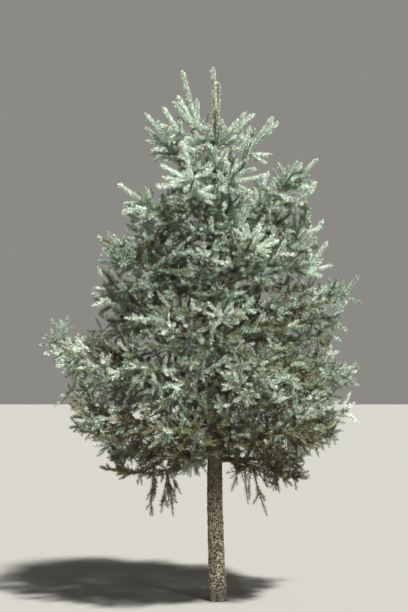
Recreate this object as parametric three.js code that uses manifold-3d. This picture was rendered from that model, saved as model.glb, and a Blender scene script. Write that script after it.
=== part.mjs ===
// A young blue spruce on a clear stem: its trunk, its boughs and the masses of needles that they carry.
// Millimetres, +Z up. The origin is the centre of the trunk's flat cut at ground level.
// Azimuth 0 points along +X, the viewer's right, and 270 points at the viewer, along -Y.
import * as THREE from "three";
import Module from "manifold-3d";

const wasm = await Module();
wasm.setup();

// Driving dimensions
const treeHeight = 3620;
const seatGap = 0.3; // what a piece keeps to the one that carries it
const facetSlack = 0.35; // more room where a faceted piece is cut round its neighbour
const leastBody = 1000; // cubic millimetres: a smaller crumb that a cut leaves is dropped

// The trunk: height, radius, and how far its course leaves the plumb line to the side and to the back
const trunkStations = [
  { height: 0, radius: 62, side: 0, back: 0 },
  { height: 130, radius: 57, side: -5, back: 2 },
  { height: 600, radius: 53, side: -20, back: 4 },
  { height: 950, radius: 51, side: -21, back: 0 },
  { height: 1500, radius: 39, side: -16, back: -4 },
  { height: 2000, radius: 29, side: -10, back: -2 },
  { height: 2450, radius: 21, side: -8, back: 3 },
  { height: 3100, radius: 9, side: -12, back: 0 },
  { height: treeHeight, radius: 3, side: -39, back: -4 },
];
const trunkSides = 14;
const trunkRings = 14;
const ringCrowding = 1.35; // above 1 sets the trunk's rings closer near the ground, where it flares
const rootFlare = { lobes: 5, depth: 9, height: 110, turn: 0.6 };

// Boughs and the masses on them
const boughSides = 6;
const boughRings = 3;
const massSides = 9;
const massRings = 7;
const slimMassSides = 6; // for the leaders and the small boughs at their foot
const slimMass = 100; // half width under which a mass takes these fewer sides
const boughTaper = 0.45; // radius where the needles begin, as a share of that at the trunk
const boughCollar = 1.35; // swelling where a bough leaves the trunk
const sunkStart = 0.6; // how far into the trunk's radius a mass starts, before it is cut round the trunk
const massBlunt = 0.66; // below 1 fills a mass out towards both ends
const leaderBlunt = 0.3;
const massEnds = { start: 0.4, tip: 0.16 }; // half width at a mass's two ends, as shares of its fullest
const massHang = 1.3; // how much deeper than its half depth a mass hangs under its bough
const massRise = 0.72; // and how much less it stands above it
const lastRing = 0.975; // where along the bough the mass's last ring lies; its point is the bough's tip
const unevenness = { ring: 0.16, broad: 0.1, middle: 0.08, fine: 0.05 }; // shares of a mass's half width
const heightScatter = 60; // how far apart the boughs of one whorl leave the trunk
const swayMost = 0.05; // how far a bough's middle may lie to one side, as a share of its reach

// Each whorl: the height it leaves the trunk at, the bough's radius there (0 where needles begin at the
// trunk), where along the bough the needles begin, how far its middle sags as a share of its reach, the
// mass's half width and half depth as shares of the reach, how far along the mass is fullest, and its boughs
// by the side they grow to: azimuth in degrees, reach, and rise from the trunk to the tip.
const whorls = [
  {
    number: 1, height: 3095, radius: 0, begins: 0, sag: 0.1, width: 0.24, depth: 0.2, fullest: 0.55,
    boughs: {
      left: { azimuth: 197, reach: 395, rise: 160 },
      right: { azimuth: 350, reach: 262, rise: 225 },
      front: { azimuth: 272, reach: 130, rise: 240 },
    },
  },
  {
    number: 2, height: 2770, radius: 0, begins: 0, sag: 0.06, width: 0.34, depth: 0.26, fullest: 0.56,
    boughs: {
      left: { azimuth: 183, reach: 480, rise: 545 },
      right: { azimuth: 4, reach: 425, rise: 500 },
      front_right: { azimuth: 308, reach: 440, rise: 190 },
      back: { azimuth: 95, reach: 420, rise: 400 },
    },
  },
  {
    number: 3, height: 2420, radius: 8, begins: 0.2, sag: 0.05, width: 0.42, depth: 0.27, fullest: 0.52,
    boughs: {
      left: { azimuth: 172, reach: 670, rise: 430 },
      right: { azimuth: 6, reach: 688, rise: 580 },
      front_left: { azimuth: 244, reach: 520, rise: 430 },
      back: { azimuth: 80, reach: 590, rise: 430 },
    },
  },
  {
    number: 4, height: 2060, radius: 10, begins: 0.2, sag: 0.06, width: 0.44, depth: 0.25, fullest: 0.5,
    boughs: {
      left: { azimuth: 190, reach: 815, rise: 420 },
      right: { azimuth: 357, reach: 735, rise: 520 },
      front_right: { azimuth: 292, reach: 660, rise: 430 },
      back: { azimuth: 108, reach: 760, rise: 400 },
    },
  },
  {
    number: 5, height: 1725, radius: 11.5, begins: 0.2, sag: 0.08, width: 0.45, depth: 0.21, fullest: 0.5,
    boughs: {
      left: { azimuth: 172, reach: 860, rise: 400 },
      right: { azimuth: 5, reach: 945, rise: 480 },
      front: { azimuth: 258, reach: 830, rise: 250 },
      back: { azimuth: 72, reach: 860, rise: 330 },
    },
  },
  {
    number: 6, height: 1420, radius: 13, begins: 0.2, sag: 0.1, width: 0.38, depth: 0.18, fullest: 0.52,
    boughs: {
      left: { azimuth: 184, reach: 1175, rise: 400 },
      right: { azimuth: 348, reach: 985, rise: 170 },
      front_right: { azimuth: 292, reach: 870, rise: 140 },
      front_left: { azimuth: 236, reach: 880, rise: 190 },
      back_left: { azimuth: 128, reach: 1010, rise: 240 },
      back_right: { azimuth: 52, reach: 980, rise: 200 },
    },
  },
  {
    number: 7, height: 1170, radius: 12.5, begins: 0.2, sag: 0.08, width: 0.38, depth: 0.18, fullest: 0.5,
    boughs: {
      left: { azimuth: 200, reach: 1090, rise: 160 },
      front_left: { azimuth: 252, reach: 900, rise: 60 },
      front_right: { azimuth: 318, reach: 900, rise: 30 },
      right: { azimuth: 12, reach: 960, rise: 90 },
      back: { azimuth: 92, reach: 930, rise: 60 },
    },
  },
  {
    number: 8, height: 985, radius: 0, begins: 0, sag: -0.08, width: 0.34, depth: 0.17, fullest: 0.6,
    boughs: {
      left: { azimuth: 196, reach: 800, rise: -60 },
      right: { azimuth: 338, reach: 700, rise: -120 },
    },
  },
];

// What stands out of that rule: the needles round the trunk's own tip, a second leader beside it, a side
// leader that has turned up, and a dead limb under the crown.
const leaderNeedles = { from: 3140, past: 12, radius: 20 };
const secondLeader = { height: 3100, azimuth: 68, reach: 56, rise: 440, sag: -0.5, radius: 19 };
const sideLeader = { height: 3060, azimuth: 160, reach: 245, rise: 545, sag: 0.62, width: 95, depth: 92 };
const deadLimb = { height: 925, azimuth: 322, reach: 470, rise: 55, radius: 7, tipRadius: 3 };

// Colours
const bark = { colour: new THREE.Color(0.36, 0.3, 0.26), roughness: 0.9 };
const boughBark = { colour: new THREE.Color(0.4, 0.28, 0.2), roughness: 0.85 };
const needles = { colour: new THREE.Color(0.36, 0.45, 0.42), roughness: 0.75 };

// A repeatable random number from 0 to 1 for a whole number
const chance = (n) => {
  const x = Math.sin(n * 127.1 + 11.7) * 43758.5453;
  return x - Math.floor(x);
};

// The trunk's station at a height, between its neighbours in the table
function trunkAt(height) {
  const next = trunkStations.findIndex((s) => s.height >= height);
  if (next <= 0) return { ...trunkStations[next === 0 ? 0 : trunkStations.length - 1] };
  const low = trunkStations[next - 1];
  const high = trunkStations[next];
  const share = (height - low.height) / (high.height - low.height);
  const mix = (key) => THREE.MathUtils.lerp(low[key], high[key], share);
  return { height, radius: mix("radius"), side: mix("side"), back: mix("back") };
}

// A point on the trunk's centre line
const trunkCentre = (height) => {
  const { side, back } = trunkAt(height);
  return new THREE.Vector3(side, back, height);
};

// A closed solid through a row of rings of equal count, wound so that it faces out where the rings run along
// their own normal. Each end is a fan round the ring's middle, moved out by its bulge.
function loft(rings, startBulge = 0, endBulge = 0) {
  const count = rings[0].length;
  const middle = (ring) => ring.reduce((sum, p) => sum.add(p), new THREE.Vector3()).divideScalar(count);
  const first = middle(rings[0]);
  const last = middle(rings.at(-1));
  const outAtStart = first.clone().sub(middle(rings[1])).normalize();
  const outAtEnd = last.clone().sub(middle(rings.at(-2))).normalize();
  first.addScaledVector(outAtStart, startBulge);
  last.addScaledVector(outAtEnd, endBulge);
  const points = [...rings.flat(), first, last];
  const faces = [];
  for (let r = 0; r + 1 < rings.length; r++) {
    for (let i = 0; i < count; i++) {
      const a = r * count + i;
      const b = r * count + ((i + 1) % count);
      faces.push(a, b, b + count, a, b + count, a + count);
    }
  }
  const startCentre = rings.length * count;
  const endRing = (rings.length - 1) * count;
  for (let i = 0; i < count; i++) {
    const j = (i + 1) % count;
    faces.push(startCentre, j, i, startCentre + 1, endRing + i, endRing + j);
  }
  return new wasm.Manifold(
    new wasm.Mesh({
      numProp: 3,
      vertProperties: new Float32Array(points.flatMap((p) => p.toArray())),
      triVerts: new Uint32Array(faces),
    }),
  );
}

// The trunk, grown by a margin where it is used to cut its neighbours
function trunkSolid(margin = 0) {
  const rings = [];
  for (let r = 0; r <= trunkRings; r++) {
    const height = treeHeight * (r / trunkRings) ** ringCrowding;
    const { radius, side, back } = trunkAt(height);
    const flare = rootFlare.depth * Math.exp(-height / rootFlare.height);
    const ring = [];
    for (let i = 0; i < trunkSides; i++) {
      const angle = (i / trunkSides) * 2 * Math.PI;
      const lobe = flare * Math.cos(rootFlare.lobes * angle + rootFlare.turn + Math.sin(angle));
      const reach = radius + lobe + margin;
      ring.push(new THREE.Vector3(side + reach * Math.cos(angle), back + reach * Math.sin(angle), height));
    }
    rings.push(ring);
  }
  return loft(rings, 0, margin);
}

// A bough's centre line, from the trunk's centre to its tip
function boughPath({ height, azimuth, reach, rise, sag = 0, sway = 0 }) {
  const turn = THREE.MathUtils.degToRad(azimuth);
  const out = new THREE.Vector3(Math.cos(turn), Math.sin(turn), 0);
  const across = new THREE.Vector3(-out.y, out.x, 0);
  const root = trunkCentre(height);
  const tip = root.clone().addScaledVector(out, reach).setZ(height + rise);
  const bend = root.clone().addScaledVector(out, reach / 2).addScaledVector(across, sway * reach);
  bend.z = height + rise / 2 - sag * reach;
  return { curve: new THREE.QuadraticBezierCurve3(root, bend, tip), across };
}

// A ring round a path at a share of its length, flat to the path's own direction
function ringAt({ curve, across }, share, sides, radiusAt) {
  const centre = curve.getPoint(share);
  const along = curve.getTangent(share);
  const up = new THREE.Vector3().crossVectors(along, across).normalize();
  const side = new THREE.Vector3().crossVectors(up, along);
  const ring = [];
  for (let i = 0; i < sides; i++) {
    const angle = (i / sides) * 2 * Math.PI;
    const { wide, deep } = radiusAt(angle);
    ring.push(
      centre
        .clone()
        .addScaledVector(side, wide * Math.cos(angle))
        .addScaledVector(up, deep * Math.sin(angle)),
    );
  }
  return ring;
}

// One tapering limb along a path, up to a share of its length
function limbSolid(path, radius, tipRadius, end, margin = 0) {
  const rings = [];
  for (let r = 0; r <= boughRings; r++) {
    const share = r / boughRings;
    const collar = 1 + (boughCollar - 1) * Math.max(0, 1 - share * 4);
    const size = THREE.MathUtils.lerp(radius, tipRadius, share) * collar + margin;
    rings.push(ringAt(path, share * end, boughSides, () => ({ wide: size, deep: size })));
  }
  return loft(rings, 0, margin);
}

// One mass of needles along a path: an uneven spindle, flat where the bough comes in, that hangs deeper under
// its bough than it stands above it
function massSolid({ path, begins, width, depth, fullest, blunt, seed }, margin = 0) {
  const swell = Math.log(0.5) / Math.log(fullest);
  const phase = [0, 1, 2].map((i) => chance(seed * 7 + i) * 2 * Math.PI);
  const sides = width < slimMass ? slimMassSides : massSides;
  const rings = [];
  for (let r = 0; r < massRings; r++) {
    const share = r / (massRings - 1);
    const least = THREE.MathUtils.lerp(massEnds.start, massEnds.tip, share);
    const full = least + (1 - least) * Math.abs(Math.sin(Math.PI * share ** swell)) ** blunt;
    const lump = 1 + unevenness.ring * (chance(seed * 13 + r) - 0.5);
    rings.push(
      ringAt(path, THREE.MathUtils.lerp(begins, lastRing, share), sides, (angle) => {
        const uneven =
          lump +
          unevenness.broad * Math.sin(2 * angle + phase[0] + 3 * share) +
          unevenness.middle * Math.sin(3 * angle + phase[1] - 5 * share) +
          unevenness.fine * Math.sin(5 * angle + phase[2] + 4 * share);
        const hang = Math.sin(angle) < 0 ? massHang : massRise;
        return {
          wide: width * full * uneven + margin,
          deep: depth * full * uneven * hang + margin,
        };
      }),
    );
  }
  const tipLength = path.curve.getPoint(1).distanceTo(path.curve.getPoint(lastRing));
  return loft(rings, margin, tipLength + margin);
}

// The largest body of a solid that a cut may have left in crumbs
function largestBody(solid) {
  const bodies = solid.decompose().filter((b) => b.volume() > leastBody);
  return bodies.sort((a, b) => b.volume() - a.volume())[0];
}

// Whether two solids' boxes meet
function boxesMeet(a, b) {
  const p = a.boundingBox();
  const q = b.boundingBox();
  return [0, 1, 2].every((i) => p.min[i] <= q.max[i] && q.min[i] <= p.max[i]);
}

// A solid cut back from every neighbour that it reaches
function cutRound(solid, neighbours) {
  const met = neighbours.filter((n) => boxesMeet(solid, n));
  return met.length ? largestBody(met.reduce((left, n) => left.subtract(n), solid)) : solid;
}

// Where a mass that begins at the trunk starts on its path: inside the trunk, which is cut out of it later
const startInTrunk = (path, height) => (sunkStart * trunkAt(height).radius) / path.curve.getLength();

// Every bough and mass as a plain description
function planCrown() {
  const limbs = [];
  const masses = [];
  let seed = 1;
  for (const whorl of whorls) {
    for (const [side, bough] of Object.entries(whorl.boughs)) {
      seed += 1;
      const height = whorl.height + heightScatter * (chance(seed) - 0.5);
      const rise = bough.rise + whorl.height - height;
      const sway = 2 * swayMost * (chance(seed + 50) - 0.5);
      const path = boughPath({ ...bough, height, rise, sag: whorl.sag, sway });
      const name = `${whorl.number}_${side}`;
      if (whorl.radius) {
        limbs.push({
          name: `bough_${name}`,
          path,
          radius: whorl.radius,
          tipRadius: whorl.radius * boughTaper,
          end: whorl.begins - seatGap / path.curve.getLength(),
        });
      }
      masses.push({
        name: `foliage_${name}`,
        path,
        begins: whorl.begins || startInTrunk(path, height),
        width: whorl.width * bough.reach,
        depth: whorl.depth * bough.reach,
        fullest: whorl.fullest,
        blunt: massBlunt,
        seed,
      });
    }
  }
  limbs.push({
    name: "dead_limb",
    path: boughPath(deadLimb),
    radius: deadLimb.radius,
    tipRadius: deadLimb.tipRadius,
    end: 1,
  });
  return { limbs, masses, leaders: planLeaders() };
}

// The second leader and the side leader, as masses whose needles begin at the trunk
function planLeaders() {
  const second = boughPath(secondLeader);
  const side = boughPath(sideLeader);
  return [
    {
      name: "foliage_second_leader",
      path: second,
      begins: startInTrunk(second, secondLeader.height),
      width: secondLeader.radius,
      depth: secondLeader.radius,
      fullest: 0.45,
      blunt: leaderBlunt,
      seed: 71,
    },
    {
      name: "foliage_side_leader",
      path: side,
      begins: startInTrunk(side, sideLeader.height),
      width: sideLeader.width,
      depth: sideLeader.depth,
      fullest: 0.58,
      blunt: massBlunt,
      seed: 72,
    },
  ];
}

// The sleeve of needles round the trunk's own tip
function leaderSleeve() {
  const top = trunkCentre(treeHeight);
  const foot = trunkCentre(leaderNeedles.from);
  const tip = top.clone().add(new THREE.Vector3(0, 0, leaderNeedles.past));
  const path = {
    curve: new THREE.QuadraticBezierCurve3(foot, foot.clone().lerp(tip, 0.5), tip),
    across: new THREE.Vector3(0, 1, 0),
  };
  const { radius } = leaderNeedles;
  const shape = { width: radius, depth: radius, fullest: 0.45, blunt: leaderBlunt };
  return massSolid({ path, begins: 0, ...shape, seed: 73 });
}

// A named mesh of a solid
function meshOf(name, solid, { colour, roughness }) {
  const { vertProperties, triVerts, numProp } = solid.getMesh();
  const geometry = new THREE.BufferGeometry();
  const positions = new Float32Array((vertProperties.length / numProp) * 3);
  for (let i = 0; i * numProp < vertProperties.length; i++) {
    positions.set(vertProperties.subarray(i * numProp, i * numProp + 3), i * 3);
  }
  geometry.setAttribute("position", new THREE.BufferAttribute(positions, 3));
  geometry.setIndex(new THREE.BufferAttribute(triVerts, 1));
  const looks = { color: colour, roughness, metalness: 0, flatShading: true };
  const material = new THREE.MeshStandardMaterial(looks);
  const mesh = new THREE.Mesh(geometry, material);
  mesh.name = name;
  return mesh;
}

function buildTree() {
  const tree = new THREE.Group();
  tree.name = "blue_spruce_tree";
  const { limbs, masses, leaders } = planCrown();
  const margin = seatGap + facetSlack;
  const trunkCutter = trunkSolid(seatGap);

  tree.add(meshOf("trunk", trunkSolid(), bark));

  const limbCutters = [];
  for (const limb of limbs) {
    const solid = cutRound(limbSolid(limb.path, limb.radius, limb.tipRadius, limb.end), [trunkCutter]);
    tree.add(meshOf(limb.name, solid, boughBark));
    limbCutters.push(limbSolid(limb.path, limb.radius, limb.tipRadius, limb.end, seatGap));
  }

  const massCutters = [];
  const addMass = (name, whole, cutter) => {
    const solid = cutRound(whole, [trunkCutter, ...limbCutters, ...massCutters]);
    tree.add(meshOf(name, solid, needles));
    massCutters.push(cutter);
  };
  const sleeve = leaderSleeve();
  addMass("foliage_leader", sleeve, sleeve);
  for (const mass of [...leaders, ...masses]) addMass(mass.name, massSolid(mass), massSolid(mass, margin));
  return tree;
}

export default buildTree();
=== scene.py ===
# Looks of a young blue spruce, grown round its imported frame
import math
import random
from collections import deque
import bpy
import numpy as np
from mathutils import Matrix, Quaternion, Vector, noise
from mathutils.bvhtree import BVHTree


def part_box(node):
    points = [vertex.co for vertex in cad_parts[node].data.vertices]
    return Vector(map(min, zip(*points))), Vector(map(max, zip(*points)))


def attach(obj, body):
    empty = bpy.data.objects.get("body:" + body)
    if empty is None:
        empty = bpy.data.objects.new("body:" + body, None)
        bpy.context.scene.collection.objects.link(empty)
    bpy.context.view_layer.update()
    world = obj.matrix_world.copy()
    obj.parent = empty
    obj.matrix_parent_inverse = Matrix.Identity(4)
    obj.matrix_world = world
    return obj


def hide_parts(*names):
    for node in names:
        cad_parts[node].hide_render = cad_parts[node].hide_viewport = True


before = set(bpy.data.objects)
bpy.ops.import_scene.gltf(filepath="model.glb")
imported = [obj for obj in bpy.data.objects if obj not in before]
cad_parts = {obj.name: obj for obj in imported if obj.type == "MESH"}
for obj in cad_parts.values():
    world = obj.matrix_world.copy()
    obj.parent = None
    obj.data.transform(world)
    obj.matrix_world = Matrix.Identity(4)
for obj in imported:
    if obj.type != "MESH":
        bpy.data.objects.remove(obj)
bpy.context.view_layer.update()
skyward = Vector((0, 0, 1))
view = {"place": (-0.0938, -8.4, 1.6), "pitch": 2.69, "lens": 72.2, "sensor": 36, "picture": (408, 612)}


def seen(across, down, depth):  # the place at a depth that shows at this pixel of the picture
    ahead = depth - view["place"][1]
    focal = view["lens"] / view["sensor"] * view["picture"][1]
    turn = math.radians(view["pitch"]) + math.atan((view["picture"][1] / 2 - down) / focal)
    side = (across - view["picture"][0] / 2) / focal
    return Vector((view["place"][0] + ahead * side, depth, view["place"][2] + ahead * math.tan(turn)))


def ramp(value, ends):  # from 0 at the first end to 1 at the second
    low, high = ends
    return min(1.0, max(0.0, (value - low) / (high - low)))


def outward(turn):  # level, away from the trunk
    return Vector((math.cos(turn), math.sin(turn), 0))


# Node wiring, for materials and for Geometry Nodes
class Wire:
    def __init__(self, graph, socket):
        self.graph = graph
        self.socket = socket

    def other(self, name):
        return Wire(self.graph, self.graph.find(self.socket.node.outputs, name))

    def sum(self, operation, *values):
        if self.socket.type == "VECTOR":
            kind = "ShaderNodeVectorMath"
            values = [(v, v, v) if isinstance(v, (int, float)) else v for v in values]
        else:
            kind = "ShaderNodeMath"
        return self.graph.add(kind, {"operation": operation}, dict(enumerate((self, *values))))

    def flip(self, operation, value):
        settings = {"operation": operation}
        return self.graph.add("ShaderNodeMath", settings, {0: value, 1: self})

    def __add__(self, value):
        return self.sum("ADD", value)

    def __radd__(self, value):
        return self.sum("ADD", value)

    def __sub__(self, value):
        return self.sum("SUBTRACT", value)

    def __rsub__(self, value):
        return self.flip("SUBTRACT", value)

    def __mul__(self, value):
        return self.sum("MULTIPLY", value)

    def __rmul__(self, value):
        return self.sum("MULTIPLY", value)

    def __pow__(self, value):
        return self.sum("POWER", value)


class Graph:
    def __init__(self, tree):
        self.tree = tree

    def find(self, sockets, key):
        if isinstance(key, int):
            return sockets[key]
        return next(s for s in sockets if s.name == key and s.enabled)

    def add(self, kind, settings=None, inputs=None, output=0):
        node = self.tree.nodes.new(kind)
        for name, value in (settings or {}).items():
            if name == "stops":
                self.setStops(node.color_ramp, value)
            else:
                setattr(node, name, value)
        for key, value in (inputs or {}).items():
            socket = self.find(node.inputs, key)
            if isinstance(value, Wire):
                self.tree.links.new(value.socket, socket)
            else:
                socket.default_value = value
        return Wire(self, self.find(node.outputs, output))

    def setStops(self, ramp, stops):
        while len(ramp.elements) < len(stops):
            ramp.elements.new(0.5)
        for element, (place, colour) in zip(ramp.elements, stops):
            element.position = place
            element.color = (*colour, 1)

    def mixColour(self, share, first, second):
        first, second = [c if isinstance(c, Wire) else (*c, 1) for c in (first, second)]
        return self.add("ShaderNodeMix", {"data_type": "RGBA"}, {0: share, 6: first, 7: second}, 2)


class Paint(Graph):
    def __init__(self, name, roughness):
        self.material = bpy.data.materials.new(name)
        self.material.use_nodes = True
        super().__init__(self.material.node_tree)
        self.shader = self.tree.nodes["Principled BSDF"]
        self.shader.inputs["Roughness"].default_value = roughness

    def setPlain(self, name, value):
        self.shader.inputs[name].default_value = value

    def feed(self, name, wire):
        self.tree.links.new(wire.socket, self.shader.inputs[name])

    def place(self):
        return self.add("ShaderNodeTexCoord", output="Object")

    def noise(self, place, looks):  # looks: its scale and its detail
        return self.add("ShaderNodeTexNoise", {}, {"Vector": place, "Scale": looks[0], "Detail": looks[1]})

    def attribute(self, name):
        return self.add("ShaderNodeAttribute", {"attribute_name": name}, output="Fac")

    def band(self, value, start, end):
        settings = {"interpolation_type": "SMOOTHSTEP"}
        return self.add("ShaderNodeMapRange", settings, {0: value, 1: start, 2: end})

    def bump(self, height, looks):  # looks: its strength and its distance
        inputs = {"Height": height, "Strength": looks[0], "Distance": looks[1]}
        self.feed("Normal", self.add("ShaderNodeBump", {}, inputs))


class GrowthNodes(Graph):
    def __init__(self, name):
        super().__init__(bpy.data.node_groups.new(name, "GeometryNodeTree"))
        faces = self.tree.interface
        faces.new_socket(name="Geometry", in_out="INPUT", socket_type="NodeSocketGeometry")
        faces.new_socket(name="Geometry", in_out="OUTPUT", socket_type="NodeSocketGeometry")
        self.entry = self.tree.nodes.new("NodeGroupInput")
        self.exit = self.tree.nodes.new("NodeGroupOutput")
        self.keys = {}
        self.geometry = Wire(self, self.entry.outputs[0])

    def value(self, name, kind):
        item = self.tree.interface.new_socket(name=name, in_out="INPUT", socket_type="NodeSocket" + kind)
        self.keys[name] = item.identifier
        return Wire(self, self.entry.outputs[name])

    def attribute(self, name, kind="FLOAT"):
        return self.add("GeometryNodeInputNamedAttribute", {"data_type": kind}, {"Name": name})

    def random(self, ends, seed):
        inputs = {"Min": ends[0], "Max": ends[1], "Seed": seed}
        return self.add("FunctionNodeRandomValue", {"data_type": "FLOAT"}, inputs, "Value")

    def close(self, geometry, paints):  # paints: each material with what it covers, None for all
        made = self.add("GeometryNodeRealizeInstances", {}, {"Geometry": geometry})
        for paint, covered in paints:
            inputs = {"Geometry": made, "Material": paint}
            if covered:
                inputs["Selection"] = covered
            made = self.add("GeometryNodeSetMaterial", {}, inputs)
        self.tree.links.new(made.socket, self.exit.inputs[0])

    def run(self, piece, values):
        modifier = piece.modifiers.new(self.tree.name, "NODES")
        modifier.node_group = self.tree
        for name, value in values.items():
            modifier[self.keys[name]] = value
        depsgraph = bpy.context.evaluated_depsgraph_get()
        made = bpy.data.meshes.new_from_object(piece.evaluated_get(depsgraph), depsgraph=depsgraph)
        piece.modifiers.remove(modifier)
        piece.data = made
        for name in ("tone", "spacing", "bristle", "thick", "aim", "swell", "share"):
            if name in made.attributes:
                made.attributes.remove(made.attributes[name])
        return piece


def addObject(name, mesh):
    piece = bpy.data.objects.new(name, mesh)
    bpy.context.scene.collection.objects.link(piece)
    return piece


def meshOf(name, points, faces, smooth=True):
    mesh = bpy.data.meshes.new(name)
    mesh.from_pydata([tuple(p) for p in points], [], faces)
    if smooth:
        mesh.shade_smooth()
    return mesh


def storeValues(mesh, name, kind, values):
    field = "vector" if kind == "FLOAT_VECTOR" else "value"
    mesh.attributes.new(name, kind, "POINT").data.foreach_set(field, values)


def lineMesh(name, lines, attributes):  # separate lines of points, each with one value per attribute
    points = [tuple(p) for line in lines for p in line["points"]]
    edges = []
    start = 0
    for line in lines:
        count = len(line["points"])
        edges += [(start + i, start + i + 1) for i in range(count - 1)]
        start += count
    mesh = bpy.data.meshes.new(name)
    mesh.from_pydata(points, edges, [])
    for key, kind in attributes.items():
        values = []
        for line in lines:
            value = line[key]
            values += list(value) if isinstance(value, list) else [value] * len(line["points"])
        storeValues(mesh, key, kind, values)
    return mesh


def countTriangles(piece):
    return sum(len(p.vertices) - 2 for p in piece.data.polygons)


# Materials
needleLooks = {
    "roughness": 0.5,
    "specular": 0.35,
    "tones": {
        "frosted": (0.5, 0.583, 0.495),
        "blue": (0.28, 0.364, 0.285),
        "teal": (0.142, 0.197, 0.126),
        "olive": (0.114, 0.13, 0.058),
        # painted shade: this dark tone goes on shoots deep or low in the crown, and is also the darker
        # colour of old needles
        "shade": (0.066, 0.069, 0.037),
        "yellowed": (0.25, 0.262, 0.12),
        "tan": (0.4, 0.32, 0.2),
    },
}
toneNames = list(needleLooks["tones"])


def needleMaterials():
    made = []
    for tone, colour in needleLooks["tones"].items():
        paint = Paint("needles_" + tone, needleLooks["roughness"])
        paint.setPlain("Base Color", (*colour, 1))
        paint.setPlain("Specular IOR Level", needleLooks["specular"])
        made.append(paint.material)
    return made


barkLooks = {
    "roughness": 0.88,
    "crack": (0.02, 0.017, 0.01),
    "plate": (0.2, 0.182, 0.132),
    "paleFleck": (0.8, 0.72, 0.57),
    "redFleck": (0.1, 0.064, 0.034),
    "shaded": (0.07, 0.052, 0.026),
    "foot": (0.045, 0.038, 0.027),
    "upright": (1, 1, 0.7),  # how the noise is squeezed, so that it runs up the trunk
    "broad": (34.0, 5.0),  # scale and detail of each noise
    "flecks": (125.0, 2.0),
    "grit": (420.0, 4.0),
    "layers": [  # on the plates: what a layer follows, from and to, its strength and its colour
        ("flake", 0.3, 0.95, 0.7, "paleFleck"),
        ("flake", 0.2, 0.12, 0.8, "redFleck"),
        ("broad", 0.45, 0.62, 0.3, "paleFleck"),
        ("flecks", 0.52, 0.58, 0.9, "redFleck"),
        ("flecks", 0.46, 0.4, 0.95, "paleFleck"),
        # painted shade: the trunk grows darker upwards, towards the crown that shades it
        ("height", 0.35, 0.9, 0.85, "shaded"),
    ],
    "cracks": (0.05, 0.5),  # relief between which a crack turns into a plate
    "footHeights": (0.16, 0.02),
    "footStrength": 0.75,
    "bump": (0.5, 0.0015),
}


def barkMaterial():
    paint = Paint("trunk_bark", barkLooks["roughness"])
    place = paint.place()
    squeezed = paint.add("ShaderNodeMapping", {}, {"Vector": place, "Scale": barkLooks["upright"]})
    followed = {
        "broad": paint.noise(squeezed, barkLooks["broad"]),
        "flecks": paint.noise(squeezed, barkLooks["flecks"]),
        "flake": paint.attribute("flake"),
        "height": paint.add("ShaderNodeSeparateXYZ", {}, {0: place}, "Z"),
    }
    plates = barkLooks["plate"]
    for name, start, end, strength, colour in barkLooks["layers"]:
        share = paint.band(followed[name], start, end) * strength
        plates = paint.mixColour(share, plates, barkLooks[colour])
    cracked = paint.band(paint.attribute("relief"), *barkLooks["cracks"])
    coloured = paint.mixColour(cracked, barkLooks["crack"], plates)
    footed = paint.band(followed["height"], *barkLooks["footHeights"]) * barkLooks["footStrength"]
    paint.feed("Base Color", paint.mixColour(footed, coloured, barkLooks["foot"]))
    paint.bump(paint.noise(place, barkLooks["grit"]) + followed["broad"], barkLooks["bump"])
    return paint.material


twigLooks = {
    "roughness": 0.8,
    "broad": (9.0, 2.0),
    "fine": (260.0, 3.0),
    "stops": (0.35, 0.65),
    "mottle": 0.45,
    "bump": (0.6, 0.001),
    "twig_bark": [(0.15, 0.088, 0.045), (0.3, 0.185, 0.095), (0.22, 0.185, 0.13)],
    "bud_scales": [(0.3, 0.19, 0.11), (0.46, 0.33, 0.2), (0.42, 0.33, 0.23)],
    "bough_bark": [(0.085, 0.06, 0.038), (0.18, 0.125, 0.08), (0.22, 0.19, 0.14)],
}


def twigMaterial(name):  # from dark to light in broad patches, with a finer mottle
    paint = Paint(name, twigLooks["roughness"])
    place = paint.place()
    broad = paint.noise(place, twigLooks["broad"])
    fine = paint.noise(place, twigLooks["fine"])
    dark, light, grey = twigLooks[name]
    stops = list(zip(twigLooks["stops"], (dark, light)))
    base = paint.add("ShaderNodeValToRGB", {"stops": stops}, {0: broad})
    mottled = paint.mixColour(fine, base, grey)
    paint.feed("Base Color", paint.mixColour(twigLooks["mottle"], base, mottled))
    paint.bump(fine, twigLooks["bump"])
    return paint.material


# The frame's own places, from which everything grows
reading = {  # in metres, or as shares of a length
    "sameLevel": 0.0002,
    "outerRing": 0.5,  # least reach of a ring's outer corners
    "boughRoot": 0.03,  # how far from its nearest or furthest point a bough's end goes
    "boughEnd": 0.012,
    "middle": (0.4, 0.8),  # along a mass, the slab that gives its middle
    "middleRise": 0.1,
    "leader": (0.06, 0.5, 0.94),  # levels of an upright mass's slabs, and their half height
    "leaderSlab": 0.13,
    "step": 0.01,  # between the points of a path
    "bits": 24,  # of the curve from one stop to the next
    "sightSteps": 40,
}


def nodePoints(name):
    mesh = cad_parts[name].data
    found = np.empty(len(mesh.vertices) * 3, np.float32)
    mesh.vertices.foreach_get("co", found)
    return found.reshape(-1, 3).astype(float)


def readTrunk():
    points = nodePoints("trunk")
    levels = sorted(set(np.round(points[:, 2], 4)))
    rings = []
    for level in levels:
        same = np.abs(points[:, 2] - level) < reading["sameLevel"]
        ring = np.unique(np.round(points[same], 5), axis=0)
        centre = (ring[:, :2].min(0) + ring[:, :2].max(0)) / 2
        reach = np.hypot(*(ring[:, :2] - centre).T)
        ring = ring[reach > reach.max() * reading["outerRing"]]
        centre = ring[:, :2].mean(0)
        offset = ring[:, :2] - centre
        turn = np.arctan2(offset[:, 1], offset[:, 0])
        order = np.argsort(turn)
        rings.append((level, centre, turn[order], np.hypot(*offset.T)[order]))
    return rings


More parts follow.
